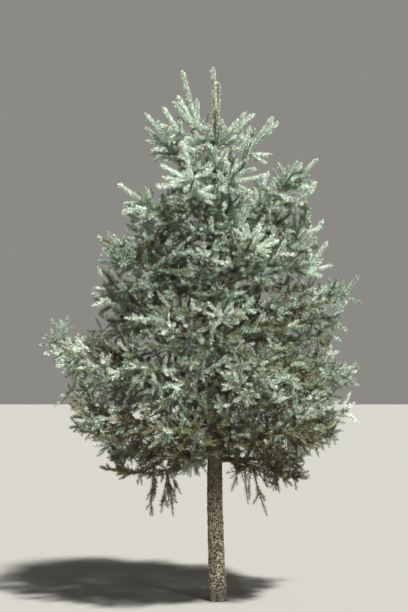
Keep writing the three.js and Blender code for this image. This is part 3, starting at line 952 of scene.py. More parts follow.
# Sprays that the picture shows: the pixel of a node and of its shoots' tips, the bough's own end first
toldSprays = {
    "foliage_side_leader": [
        ((198, 131), [(182.5, 73), (178, 97.5), (174.5, 103.5), (197, 100.5), (209, 115)]),
    ],
    "foliage_1_left": [
        ((180, 133.5), [(160.5, 125), (167, 127), (172, 138)]),
        ((204, 141), [(186, 138.5), (190, 147), (195, 133)]),
    ],
    "foliage_1_right": [
        ((229, 133), [(253, 115), (245, 114), (241, 128), (236, 122)]),
        ((227, 145), [(236, 140), (237, 149)]),
    ],
    "foliage_2_left": [
        ((175.6, 145), [(145.6, 114.4), (166, 127.5), (153, 150.6), (156, 160), (183, 132)]),
        ((196, 152), [(178.7, 157), (187, 163), (184, 147)]),
        ((203, 170), [(183, 166), (190, 158), (196, 178)]),
    ],
    "foliage_2_right": [
        ((246, 153), [(272.5, 119), (277, 123), (249.5, 125), (241, 130), (270.5, 155), (265.5, 163),
                      (236, 147)]),
        ((231, 172), [(255, 169), (247, 160), (237, 161)]),
    ],
    "foliage_2_front_right": [
        ((230, 181), [(268, 175), (251, 192), (226, 160), (243, 172)]),
    ],
    "foliage_3_front_left": [
        ((192.5, 181), [(183, 144), (162, 165.5), (163.5, 177.5), (211, 169), (158, 187), (171, 183)]),
        ((197, 192), [(167, 203), (180, 199), (211, 187), (214, 197)]),
        ((200, 230), [(194, 224), (188, 240), (210, 222)]),
    ],
    "foliage_3_left": [
        ((144.5, 202), [(119, 184.5), (138, 189), (150.5, 190.5), (124.5, 204), (133, 208)]),
        ((156, 215), [(161, 200), (143, 222), (136, 215.5), (168, 208)]),
        ((149, 233), [(133, 225), (140, 236), (140, 250), (158, 224)]),
        ((176, 226), [(163, 231), (172, 215), (165, 240)]),
        ((176, 242), [(166, 233), (160, 244), (168, 252), (183, 249), (186, 258), (172, 234), (159, 253)]),
        ((190, 242), [(177, 227), (175, 236), (196, 252), (183, 232), (199, 237)]),
    ],
    "foliage_3_right": [
        ((290.5, 184.5), [(279.5, 165), (301.5, 164), (317, 160), (307, 185.5), (311.5, 188)]),
        ((260.5, 204), [(274, 182), (260.5, 189), (267, 189), (255, 189), (284, 202), (291.5, 212)]),
        ((275.5, 224.5), [(291.5, 212), (285.5, 221.5), (290.5, 232), (266, 214)]),
    ],
    "foliage_4_left": [
        ((123.5, 263), [(98, 236), (107, 240), (129.5, 248), (98.5, 261), (134, 259), (115, 270)]),
        ((146, 262), [(141, 254), (133, 272), (158, 256), (152, 248)]),
        ((172, 262), [(160, 268), (163, 252), (184, 258), (183, 245)]),
        ((188, 282), [(178, 274), (182, 290), (198, 276), (176, 284), (192, 292)]),
        ((160, 282), [(150, 275), (146, 288), (168, 272), (172, 285), (158, 294), (148, 281)]),
        ((143, 292), [(132, 284), (130, 293), (140, 302), (150, 284), (152, 300)]),
    ],
    "foliage_4_right": [
        ((302, 249), [(323, 221), (311.5, 229), (297, 239), (317, 238)]),
        ((287, 259), [(283, 244), (289.5, 245.5), (299, 257)]),
        ((308, 270), [(327, 243), (331.5, 265.5), (310.5, 250), (321.5, 260), (321.5, 276.5)]),
        ((285, 286), [(292, 265), (297, 262), (307, 292), (274, 280)]),
    ],
    "foliage_4_front_right": [
        ((254.5, 250), [(243, 228), (259.5, 225), (273.5, 235.5), (278, 241), (269.5, 251), (268, 256),
                        (239.5, 244.5)]),
        ((249, 272), [(236, 264), (262, 270), (280, 268), (232, 276), (258, 282)]),
    ],
    "foliage_5_left": [
        ((109, 291), [(98, 268), (94, 288), (114, 279), (118, 288), (104, 301)]),
        ((103, 331), [(81, 330.5), (96, 319), (95, 341), (112, 322)]),
        ((125, 312), [(112, 306), (118, 322), (134, 302), (128, 328)]),
        ((163, 309), [(150, 302), (157, 297), (172, 299), (182, 306), (154, 315), (176, 317)]),
    ],
    "foliage_5_right": [
        ((344, 295.5), [(358, 275.5), (343.5, 282), (337, 286.5), (360, 302), (331, 300)]),
        ((330, 318), [(348, 331), (342, 311), (333, 330), (320, 306)]),
        ((320, 330), [(340, 340), (329, 345), (311, 340), (335, 324), (317, 346)]),
        ((299, 320), [(286, 308), (293, 332), (304, 305), (312, 327), (282, 323), (303, 334)]),
        ((296, 296), [(284, 288), (306, 284), (312, 296), (288, 304), (301, 307)]),
        ((271, 312), [(291, 304), (281, 302), (266, 303), (261, 318), (286, 313)]),
        ((272, 327), [(281, 339), (262, 332), (285, 322), (266, 314)]),
    ],
    "foliage_5_front": [
        ((222, 317), [(218, 308), (205, 313), (237, 311), (233, 303), (213, 328), (231, 327), (209, 303)]),
        ((222, 343), [(206, 342), (214, 329), (239, 341), (243, 332), (227, 360), (213, 352), (231, 334)]),
        ((238, 349), [(255, 362), (242, 362), (248, 350), (230, 356), (229, 347)]),
        ((203, 357), [(181, 368), (190, 359), (196, 367), (214, 361), (206, 348)]),
    ],
    "foliage_6_left": [
        ((57, 342), [(44, 338), (40.5, 345), (50, 353), (47, 346), (56, 331)]),
        ((63, 335), [(52, 320), (67.5, 317), (56, 324), (73, 326), (61, 321)]),
        ((76, 350), [(84, 337), (54, 362), (60, 364), (72, 364), (78, 335)]),
        ((109, 373), [(105.5, 351), (97, 365), (120, 363), (103, 380)]),
        ((119, 372), [(104, 364), (113, 366), (127, 369), (101, 374), (113, 382), (128, 362)]),
        ((98, 384), [(80, 377), (88, 373), (84, 388), (93, 378), (110, 376), (104, 392)]),
        ((92, 394), [(70, 398), (76, 391), (80, 400), (86, 388), (102, 388), (98, 404)]),
        ((125, 388), [(114, 382), (120, 376), (134, 378), (113, 401), (122, 404), (136, 386)]),
        ((146, 382), [(140, 374), (150, 372), (158, 380), (136, 388), (154, 392), (160, 390)]),
    ],
    "foliage_6_right": [
        ((319.5, 371), [(323, 350), (333.5, 355), (308, 350), (302, 353), (294.5, 356), (302, 378)]),
        ((345, 378), [(355, 363.5), (358.5, 386.5), (336.5, 372), (351, 374)]),
        ((296, 371), [(291, 356), (286, 364), (303, 360), (284, 376), (304, 383)]),
        ((308, 394), [(295, 388), (300, 400), (314, 382), (320, 396), (292, 396)]),
        ((330, 395), [(320, 389), (324, 403), (338, 386), (343, 398)]),
    ],
    "foliage_6_front_left": [
        ((172, 398), [(160, 410), (183, 404), (170, 411), (158, 397), (182, 393)]),
        ((176, 391), [(166, 388), (172, 383), (185, 391), (180, 400), (168, 396)]),
        ((199, 374), [(187, 376), (192, 385), (209, 378), (196, 366), (206, 385)]),
        ((199, 402), [(187, 404), (193, 410), (207, 407), (186, 396), (212, 400)]),
    ],
    "foliage_7_front_left": [
        ((167, 431), [(157, 440), (163, 446), (169, 441), (177, 444), (159, 435), (150, 447)]),
        ((198, 434), [(187, 439), (194, 447), (201, 447), (206, 442), (189, 432)]),
        ((204, 452), [(197, 456), (203, 464), (211, 455), (194, 450)]),
    ],
    "foliage_7_front_right": [
        ((229, 413), [(219, 417), (222, 424), (232, 428), (236, 420)]),
        ((240, 430), [(239, 444), (234, 440), (243, 447), (247, 438)]),
        ((253, 423), [(246, 432), (260, 432), (265, 429), (255, 439)]),
        ((274, 430), [(271, 442), (276, 447), (267, 448), (280, 441)]),
        ((286, 430), [(285, 444), (290, 447), (280, 447), (294, 440)]),
    ],
    "foliage_8_left": [
        ((131, 452), [(112, 460), (120, 468), (132, 464), (142, 467), (122, 455)]),
        ((152, 455), [(136, 470), (145, 474), (156, 471), (162, 466)]),
        ((192, 462), [(183, 467), (184, 474), (190, 477), (198, 475), (203, 467), (198, 463)]),
    ],
    "foliage_8_right": [
        ((263, 456), [(262, 472), (267, 469), (257, 466), (269, 478)]),
        ((279, 456), [(283, 469), (280, 477), (286, 487), (276, 490), (272, 482), (288, 474)]),
        ((291, 456), [(298, 463), (293, 468), (302, 458)]),
    ],
    "foliage_6_front_right": [
        ((274, 396), [(275, 386), (286.5, 396), (281.5, 404.5), (265, 398), (262, 386)]),
        ((240, 366), [(235, 355), (229, 376), (250, 368), (242, 380), (226, 366)]),
        ((239, 385), [(216, 368), (226, 371), (235, 373), (228, 388), (223, 385)]),
        ((251, 393), [(260, 382), (258, 397), (240, 396), (246, 403), (262, 391), (245, 382)]),
        ((269, 383), [(254, 376), (262, 376), (281, 378), (289, 376), (276, 387)]),
    ],
    "foliage_7_left": [
        ((72, 391), [(67.5, 383), (56, 406), (62.5, 396), (77.5, 376), (82, 381)]),
        ((92, 420), [(84.5, 417.5), (89, 425.5), (96, 432), (83, 409)]),
        ((97, 412), [(84, 414), (90, 424), (87, 405), (101, 424), (107, 408)]),
        ((124, 418), [(114, 412), (118, 428), (130, 408), (124, 435), (134, 424)]),
        ((111, 444), [(93, 446), (98, 456), (104, 440), (100, 451)]),
        ((119, 427), [(103, 430), (104, 421), (125, 435), (110, 438)]),
        ((129, 445), [(112, 454), (124, 453), (136, 456), (120, 461)]),
    ],
    "foliage_7_right": [
        ((342, 409), [(349.5, 393), (353.5, 403), (358, 422), (350, 414)]),
        ((331, 430), [(343.5, 431.5), (336.5, 436), (335, 445), (328.5, 447)]),
        ((313, 440), [(308, 452), (318, 456), (322, 443), (303, 448)]),
        ((318, 416), [(306, 410), (310, 423), (326, 406), (330, 420), (304, 417)]),
    ],
}
uprights = ("foliage_leader", "foliage_second_leader", "foliage_1_front")
leaderFans = {  # upright shoots: where along the mass, how far one reaches, years, tone
    "foliage_leader": [
        {"at": 0.0, "years": 1, "tone": "frosted"},
        {"at": 0.0, "years": 1, "tone": "tan", "thin": 0.35},
    ],
    "foliage_second_leader": [
        {"at": 0.1, "years": 1, "tone": "blue"},
        {"at": 0.1, "years": 1, "tone": "tan", "thin": 0.3},
    ],
    "foliage_1_front": [
        {"at": 0.0, "years": 1, "tone": "blue"},
        {"at": 0.0, "years": 1, "tone": "tan", "thin": 0.4},
        {"at": 0.0, "years": 1, "tone": "blue", "reach": (0.045, -0.02, 0.14), "bow": (0.01, 0, 0)},
        {"at": 0.0, "years": 1, "tone": "tan", "reach": (0.045, -0.02, 0.14), "bow": (0.01, 0, 0),
         "thin": 0.6},
    ],
}
stemShoots = {
    "seed": 9,
    "count": 118,
    "heights": (0.98, 3.16),
    "turn": 2.4,  # between one limb and the next, and how far it may be off
    "turnSpread": 0.4,
    "years": (1, 3),
    "youngFrom": 2.74,  # above this they are of one year only
    "yearShare": 0.85,
    "rise": (0.3, 1.1),
    "sag": 0.12,
    "clear": 0.3,  # least gap from the tip to the nearest shoot, in years' lengths
    "inside": 0.7,  # share of the trunk's radius at which they start
    "overshoot": 0.06,
}


def growStemShoots():  # small limbs between the whorls, straight from the trunk
    rng = random.Random(stemShoots["seed"])
    low, high = stemShoots["heights"]
    spread = stemShoots["turnSpread"]
    for number in range(stemShoots["count"]):
        height = low + (high - low) * (number + rng.random()) / stemShoots["count"]
        out = outward(number * stemShoots["turn"] + rng.uniform(-spread, spread))
        year = yearAt(height) * stemShoots["yearShare"]
        years = 1 if height > stemShoots["youngFrom"] else rng.randint(*stemShoots["years"])
        centre, radius = trunkAt(height)
        tip = centre + out * (radius + year * years)
        tip += skyward * year * years * rng.uniform(*stemShoots["rise"])
        name = max(massNames, key=lambda n: rooms[n](tip))
        if crown.nearest(tip) < year * stemShoots["clear"]:
            continue
        whorl = whorlOf(name)
        middle = centre.lerp(tip, 0.5) - skyward * year * stemShoots["sag"]
        spray = {
            "tone": crown.pickTone(rng, whorl),
            "overshoot": stemShoots["overshoot"],
            "high": 0.0,
            "lift": 1.0,
            "year": year,
            "whorl": whorl,
            "up": out.cross(skyward).cross(out),
        }
        start = centre.lerp(tip, radius * stemShoots["inside"] / (tip - centre).length)
        crown.layAxis(name, rng, smoothPath([start, middle, tip]), 1, spray, years)
        crown.growOn(name, rng, lambda point: 0.0)  # these may leave their mass


hollows = {
    "seed": 17,
    "tries": 12000,
    "heights": (0.95, 2.75),
    "depths": (0.035, 0.4),
    "least": 0.15,  # reach of a crown that has room for one
    "nearest": 0.1,  # to the trunk's middle
    "clear": 0.7,  # least gap to the nearest shoot, in years' lengths
    "cellShare": 0.98,  # the most that this gap may be of a cell
    "reach": 4.5,  # how far a limb may grow to its target, in years' lengths
    "search": 5,
    "overshoot": 0.01,
    "lift": 0.8,
    "tones": {"frosted": 1, "blue": 3, "teal": 4, "olive": 1},
}


def growHollows():  # limbs into the gaps between the tiers
    rng = random.Random(hollows["seed"])
    made = 0
    for number in range(hollows["tries"]):
        height = rng.uniform(*hollows["heights"])
        out = outward(rng.uniform(-math.pi, math.pi))
        centre = trunkAt(height)[0]
        edge = hollowDepth(centre + out * 0.001)
        if edge < hollows["least"]:
            continue
        target = centre + out * max(hollows["nearest"], edge - rng.uniform(*hollows["depths"]))
        year = yearAt(height)
        if crown.nearest(target) < min(year * hollows["clear"], crown.cellSize * hollows["cellShare"]):
            continue
        name = max(massNames, key=lambda n: rooms[n](target))
        far = year * hollows["search"]
        older = [s for s in crown.shoots if s["age"] > 0 and (s["points"][-1] - target).length < far]
        spray = {
            "tone": rng.choices(list(hollows["tones"]), list(hollows["tones"].values()))[0],
            "overshoot": hollows["overshoot"],
            "high": 0.0,
            "lift": hollows["lift"],
            "year": year,
            "whorl": whorlOf(name),
            "up": skyward + out * 0.01,
        }
        if crown.growTowards(name, rng, target, older, hollowDepth, spray, hollows["reach"]):
            made += 1
    print("grown", made, "limbs in the gaps between the tiers")


hangers = {
    "seed": 23,
    "count": 14,
    "whorls": ("7", "8"),
    "below": (1.12, 1.02),  # heights under which a told one and any other may start
    "length": (0.05, 0.12),
    "spread": 0.3,
    "tones": ("olive", "yellowed", "teal", "olive", "tan"),
    "thin": {"olive": 0.8, "yellowed": 0.8, "teal": 0.8, "tan": 0.15},  # share of the needles they have
    "sides": (0, 1, 2),  # how many side shoots
    "sidePlaces": (0.25, 0.7),
    "sideLength": (0.04, 0.09),
    "sideAims": ((-0.8, 0.8), (-0.8, 0.3)),
    "sideBits": 6,
    "bow": 0.1,
    "least": 4,  # points of the shortest one
    "year": 0.12,
    "told": [  # start, end, tone, needles, side shoots
        ((0.24, -0.17, 0.89), (0.324, -0.19, 0.593), "yellowed", 1.0, 3),
        ((0.18, -0.14, 0.91), (0.2, -0.15, 0.67), "olive", 0.5, 1),
        ((0.07, -0.1, 0.88), (0.092, -0.13, 0.75), "yellowed", 0.8, 1),
        ((0.36, -0.12, 0.9), (0.41, -0.14, 0.745), "blue", 1.0, 2),
        ((0.42, -0.1, 0.93), (0.452, -0.1, 0.8), "frosted", 1.0, 1),
        ((-0.4, -0.1, 0.86), (-0.45, -0.12, 0.585), "olive", 0.8, 5),
        ((-0.36, -0.12, 0.86), (-0.38, -0.12, 0.605), "olive", 0.8, 5),
        ((-0.34, -0.12, 0.86), (-0.3, -0.14, 0.588), "olive", 0.8, 5),
        ((-0.32, -0.14, 0.87), (-0.33, -0.16, 0.68), "shade", 0.9, 4),
        ((-0.38, -0.08, 0.87), (-0.43, -0.08, 0.7), "olive", 0.9, 4),
        ((-0.3, -0.16, 0.87), (-0.25, -0.18, 0.74), "olive", 0.7, 3),
    ],
}


def growHangers():  # thin shoots that hang under the lowest boughs
    rng = random.Random(hangers["seed"])
    below, lowest = hangers["below"]
    low = [s for s in crown.shoots if s["points"][-1].z < below and whorlOf(s["mass"]) in hangers["whorls"]]
    spread = hangers["spread"]
    plans = list(hangers["told"])
    for number in range(hangers["count"]):
        start = rng.choice([s for s in low if s["points"][-1].z < lowest])["points"][-1]
        drop = rng.uniform(*hangers["length"])
        end = start + Vector((rng.uniform(-spread, spread), rng.uniform(-spread, spread), -1)) * drop
        tone = rng.choice(hangers["tones"])
        plans.append((start, end, tone, hangers["thin"][tone], rng.choice(hangers["sides"])))
    for start, end, tone, thin, sides in plans:
        start = min((s["points"][-1] for s in low), key=lambda point: (point - Vector(start)).length)
        end = Vector(end)
        mass = min(low, key=lambda s: (s["points"][-1] - start).length)["mass"]
        middle = start.lerp(end, 0.5) + (end - start).cross(skyward) * hangers["bow"]
        line = smoothPath([start, middle, end])
        if len(line) < hangers["least"]:
            continue
        up = Vector((0, -1, 0))
        spray = {"tone": tone, "thin": thin, "year": hangers["year"], "whorl": "8", "up": up}
        years = max(1, round((end - start).length / spray["year"]))
        crown.layAxis(mass, rng, line, 0, spray, years)
        crown.waiting.clear()
        for number in range(sides):
            root = line[round(len(line) * rng.uniform(*hangers["sidePlaces"]))]
            aim = Vector([*(rng.uniform(*ends) for ends in hangers["sideAims"]), -1]).normalized()
            tip = root + aim * rng.uniform(*hangers["sideLength"])
            bits = hangers["sideBits"]
            crown.layAxis(mass, rng, [root.lerp(tip, i / bits) for i in range(bits + 1)], 2, spray, 1)


deadTwigs = {
    "seed": 24,
    "count": 9,
    "first": 0.3,  # along the limb, and how far to the next
    "gap": 0.075,
    "length": (0.05, 0.13),
    "aim": (0.4, 0.7),  # to the sides, besides the limb's own direction
    "rise": (-1.1, 0.2),
    "bend": (-0.01, 0.015),
    "rootBand": 0.02,
    "step": 0.02,
}
deadPoints = nodePoints("dead_limb")
deadSpan = trunkDistance(deadPoints)
deadRoot = trunkAt(deadPoints[deadSpan < deadSpan.min() + deadTwigs["rootBand"]][:, 2].mean())[0]
deadTip = Vector(deadPoints[np.argmax(deadSpan)])
deadPath = smoothPath([deadRoot, deadRoot.lerp(deadTip, 0.5), deadTip], deadTwigs["step"])


def growDeadTwigs():  # bare side twigs of the dead limb
    rng = random.Random(deadTwigs["seed"])
    along = (deadPath[-1] - deadPath[0]).normalized()
    for number in range(deadTwigs["count"]):
        root = deadPath[round(len(deadPath) * (deadTwigs["first"] + deadTwigs["gap"] * number))]
        side = 1 if number % 2 else -1
        across, forward = [side * x for x in deadTwigs["aim"]]
        aim = along + Vector((across, forward, rng.uniform(*deadTwigs["rise"])))
        tip = root + aim.normalized() * rng.uniform(*deadTwigs["length"])
        line = smoothPath([root, root.lerp(tip, 0.5) + skyward * rng.uniform(*deadTwigs["bend"]), tip])
        crown.addShoot("bare", [line[0], line[len(line) // 2], line[-1]], 1, {"tone": "tan"}, rng)


crown = Crown()
for massName in massNames:
    before = len(crown.shoots)
    crown.growMass(massName)
    print("grown", massName, len(crown.shoots) - before, "shoots")
growStemShoots()
growHollows()
growHangers()
growDeadTwigs()
print("growth:", len(crown.shoots), "shoots,", len(crown.tips), "tips")


# Needles: one tapered blade of two triangles, set all round each shoot
def needleBlade():
    foot = needle["width"] / 2
    tip = needle["tipWidth"] / 2
    points = [
        (-foot, 0, 0),
        (foot, needle["fold"], 0),
        (tip, 0, needle["length"]),
        (-tip, needle["fold"], needle["length"]),
    ]
    return addObject("needle_blade", meshOf("needle_blade", points, [(0, 1, 2), (0, 2, 3)], False))


def needleNodes():
    g = GrowthNodes("needles_round_shoots")
    blade = g.value("Blade", "Object")
    foot = g.value("Tilt at Foot", "Float")
    tip = g.value("Tilt at Tip", "Float")
    lift = g.value("Lift", "Float")
    span = g.value("Tip Span", "Float")
    seed = g.value("Seed", "Int")
    paints = [g.value("Needles " + tone, "Material") for tone in toneNames]
    lines = g.add("GeometryNodeMeshToCurve", {}, {"Mesh": g.geometry})
    spaced = {"Curve": lines, "Length": g.attribute("spacing")}
    even = g.add("GeometryNodeResampleCurve", {"mode": "LENGTH"}, spaced)
    whole = g.add("GeometryNodeSplineLength", output="Length")
    toEnd = whole - g.add("GeometryNodeSplineParameter", output="Length")
    share = g.add("ShaderNodeMapRange", {}, {0: toEnd, 1: span, 2: 0.0})
    kept = g.add("GeometryNodeStoreNamedAttribute", {"data_type": "FLOAT", "domain": "POINT"},
                 {"Geometry": even, "Name": "share", "Value": share})
    points = g.add("GeometryNodeCurveToPoints", {"mode": "EVALUATED"}, {"Curve": kept})
    along = points.other("Tangent")
    turn = g.add("GeometryNodeInputIndex") * needle["turn"]
    radial = g.add("ShaderNodeVectorRotate", {"rotation_type": "AXIS_ANGLE"},
                   {"Vector": points.other("Normal"), "Axis": along, "Angle": turn})
    reached = g.attribute("share")  # from 0 to 1 over the last stretch of a shoot
    tilt = foot + (tip - foot) * (reached ** needle["tipCurve"])
    tilt = tilt + g.random(needle["tiltSpread"], seed + 2.0)
    raised = g.add("ShaderNodeCombineXYZ", {}, {"Z": lift})
    aim = along * tilt.sum("COSINE") + radial * tilt.sum("SINE") + raised
    facing = g.add("FunctionNodeAlignRotationToVector", {"axis": "Z"}, {"Vector": aim})
    roll = g.random(needle["roll"], seed)
    rolled = g.add("FunctionNodeAxisAngleToRotation", {}, {"Axis": (0, 0, 1), "Angle": roll})
    facing = g.add("FunctionNodeRotateRotation", {"rotation_space": "LOCAL"},
                   {"Rotation": facing, "Rotate By": rolled})
    uneven = g.random(needle["evenness"], seed + 1.0)
    size = uneven * g.attribute("bristle") * (1 - reached * needle["tipShrink"])
    model = g.add("GeometryNodeObjectInfo", {}, {"Object": blade}, "Geometry")
    placed = g.add("GeometryNodeInstanceOnPoints", {},
                   {"Points": points, "Instance": model, "Rotation": facing, "Scale": size})
    tone = g.attribute("tone", "INT")
    same = {"data_type": "INT", "operation": "EQUAL"}
    covered = [g.add("FunctionNodeCompare", same, {"A": tone, "B": i}) for i in range(len(paints))]
    g.close(placed, zip(paints, covered))
    return g


blade = needleBlade()
needleTree = needleNodes()
paints = needleMaterials()
needleGroups = {
    "needles_top": ["foliage_leader", "foliage_s", "foliage_1", "foliage_2"],
    "needles_whorl_3": ["foliage_3"],
    "needles_whorl_4": ["foliage_4"],
    "needles_whorl_5": ["foliage_5"],
    "needles_whorl_6_front": ["foliage_6_front", "foliage_6_left"],
    "needles_whorl_6_back": ["foliage_6_back", "foliage_6_right"],
    "needles_whorl_7_front": ["foliage_7_front", "foliage_7_left"],
    "needles_whorl_7_back": ["foliage_7_back", "foliage_7_right"],
    "needles_low": ["foliage_8"],
}
for pieceName, starts in needleGroups.items():
    masses = [m for m in massNames if any(m.startswith(s) for s in starts)]
    lines = [s for s in crown.shoots if s["mass"] in masses and s["age"] <= growth["oldest"]]
    kinds = {"tone": "INT", "spacing": "FLOAT", "bristle": "FLOAT"}
    piece = addObject(pieceName, lineMesh(pieceName, lines, kinds))
    values = {
        "Blade": blade,
        "Tilt at Foot": math.radians(needle["tiltAtFoot"]),
        "Tilt at Tip": math.radians(needle["tiltAtTip"]),
        "Lift": needle["lift"],
        "Tip Span": needle["tipSpan"],
        "Seed": needle["seed"],
    }
    values.update({"Needles " + tone: paint for tone, paint in zip(toneNames, paints)})
    needleTree.run(piece, values)
    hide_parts(*masses)
    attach(piece, "root")
    print(pieceName, countTriangles(piece), "triangles")
bpy.data.objects.remove(blade)


# Twigs: thin tubes under the needles
twig = {"sides": 5, "youngSides": 3}


def twigNodes():
    g = GrowthNodes("twigs_along_shoots")
    sides = g.value("Sides", "Int")
    paint = g.value("Bark", "Material")
    lines = g.add("GeometryNodeMeshToCurve", {}, {"Mesh": g.geometry})
    ring = g.add("GeometryNodeCurvePrimitiveCircle", {}, {"Resolution": sides, "Radius": 1.0})
    tubes = g.add("GeometryNodeCurveToMesh", {},
                  {"Curve": lines, "Profile Curve": ring, "Scale": g.attribute("thick"), "Fill Caps": True})
    g.close(tubes, [(paint, None)])
    return g


twigTree = twigNodes()
twigBark = twigMaterial("twig_bark")
for pieceName, sides, young in (("twigs", twig["sides"], False), ("young_twigs", twig["youngSides"], True)):
    lines = [s for s in crown.shoots if (s["age"] == 0) == young]
    piece = addObject(pieceName, lineMesh(pieceName, lines, {"thick": "FLOAT"}))
    twigTree.run(piece, {"Sides": sides, "Bark": twigBark})
    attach(piece, "root")
    print(pieceName, countTriangles(piece), "triangles")

# Buds at the shoots' tips
bud = {
    "length": 0.012,
    "radius": 0.0036,
    "widest": 0.35,
    "sides": 4,
    "sunk": (0.002, 0.001),  # how deep its foot is, and how far the whole stands out
    "heights": (1.2, 3.1),
    "swell": (0.6, 1.5),
    "swellRange": (0.85, 1.25),
    "shares": (0.0, 1.0),
    "shareCurve": 1.5,
    "sideCount": 2,
    "sidesAbove": 2.6,
    "sideTurns": (0, 6),
    "sideLean": 0.9,
    "sideRange": (0.55, 0.85),
}


def budModel():  # a point at each end and one ring between them
    n = bud["sides"]
    points = [(0, 0, -bud["sunk"][0])]
    for i in range(n):
        turn = 2 * math.pi * i / n
        reach = bud["radius"]
        points.append((reach * math.cos(turn), reach * math.sin(turn), bud["widest"] * bud["length"]))
    points.append((0, 0, bud["length"]))
    faces = []
    for i in range(n):
        j = (i + 1) % n
        faces += [(0, 1 + j, 1 + i), (1 + i, 1 + j, 1 + n)]
    return addObject("bud_model", meshOf("bud_model", points, faces))


def budNodes():
    g = GrowthNodes("buds_at_tips")
    model = g.value("Bud", "Object")
    paint = g.value("Scales", "Material")
    shape = g.add("GeometryNodeObjectInfo", {}, {"Object": model}, "Geometry")
    aim = g.attribute("aim", "FLOAT_VECTOR")
    facing = g.add("FunctionNodeAlignRotationToVector", {"axis": "Z"}, {"Vector": aim})
    swell = g.attribute("swell")
    placed = g.add("GeometryNodeInstanceOnPoints", {},
                   {"Points": g.geometry, "Instance": shape, "Rotation": facing, "Scale": swell})
    g.close(placed, [(paint, None)])
    return g


def placeBuds():  # the place, aim and size of each
    rng = random.Random(growth["seed"])
    places = []
    for tip in crown.tips:
        point, aim = tip["point"], tip["aim"]
        if rng.random() > np.interp(point.z, bud["heights"], bud["shares"]) ** bud["shareCurve"]:
            continue
        large = np.interp(point.z, bud["heights"], bud["swell"])
        places.append((point + aim * bud["sunk"][1], aim, large * rng.uniform(*bud["swellRange"])))
        side = aim.orthogonal().normalized()
        for number in range(bud["sideCount"] if point.z > bud["sidesAbove"] else 0):
            out = Quaternion(aim, rng.uniform(*bud["sideTurns"])) @ side
            lean = (aim + out * bud["sideLean"]).normalized()
            places.append((point - aim * bud["sunk"][0], lean, large * rng.uniform(*bud["sideRange"])))
    return places


budPlaces = placeBuds()
budMesh = bpy.data.meshes.new("buds")
budMesh.from_pydata([tuple(b[0]) for b in budPlaces], [], [])
storeValues(budMesh, "aim", "FLOAT_VECTOR", [x for b in budPlaces for x in b[1]])
storeValues(budMesh, "swell", "FLOAT", [b[2] for b in budPlaces])
budPiece = addObject("buds", budMesh)
budShape = budModel()
budScales = twigMaterial("bud_scales")
budNodes().run(budPiece, {"Bud": budShape, "Scales": budScales})
bpy.data.objects.remove(budShape)
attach(budPiece, "root")
print("buds", countTriangles(budPiece), "triangles")

# Trunk with the relief of its bark
trunk = {
    "seed": 7,
    "sides": 80,
    "fineBelow": 1.15,
    "fineStep": 0.0042,
    "coarseStep": 0.026,
    "plateDepth": 0.0028,
    "plateLevel": 0.75,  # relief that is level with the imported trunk
    "plateScale": (84, 84, 62),
    "plateBend": (0.7, 0.5),  # scale and strength of the noise that bends the plates
    "plateEdge": 3.2,
    "flakeSeed": 7.3,
    "lumpDepth": 0.0022,
    "lumpScale": 24,
    "lumpNoise": (1.0, 2.0, 3),
    "cap": 0.002,
    "thickFrom": 0.045,  # radius from which the bark has its full depth
    "knotDip": (0.4, 2.4),  # depth of the dip in a knot, and how much narrower it is
    "knots": [  # azimuth in degrees, height, reach, size
        (-20, 0.47, 0.006, 0.014),
        (8, 0.515, 0.005, 0.011),
        (200, 0.62, 0.004, 0.013),
        (262, 0.78, 0.005, 0.012),
        (95, 0.4, 0.005, 0.014),
        (300, 0.86, 0.006, 0.013),
        (150, 0.84, 0.005, 0.012),
    ],
}


def barkRelief(point):  # from 0 in a crack to 1 on a flake, and a number of the flake's own
    where = Vector([x * scale for x, scale in zip(point, trunk["plateScale"])])
    scale, strength = trunk["plateBend"]
    bend = noise.noise_vector(where * scale) * strength
    distances, centres = noise.voronoi(where + bend)
    flake = noise.cell(centres[0] * trunk["flakeSeed"])
    return min(1.0, (distances[1] - distances[0]) * trunk["plateEdge"]), flake


def knotRise(turn, reach, level):  # the bumps that old limbs left, each with a dip in its middle
    depth, narrow = trunk["knotDip"]
    rise = 0.0
    for azimuth, height, tall, size in trunk["knots"]:
        away = turn - math.radians(azimuth)
        gap = math.hypot(reach * math.sin(away), level - height)
        if gap < 3 * size and math.cos(away) > 0:
            dip = depth * tall * math.exp(-((gap / size * narrow) ** 2))
            rise += tall * math.exp(-((gap / size) ** 2)) - dip
    return rise


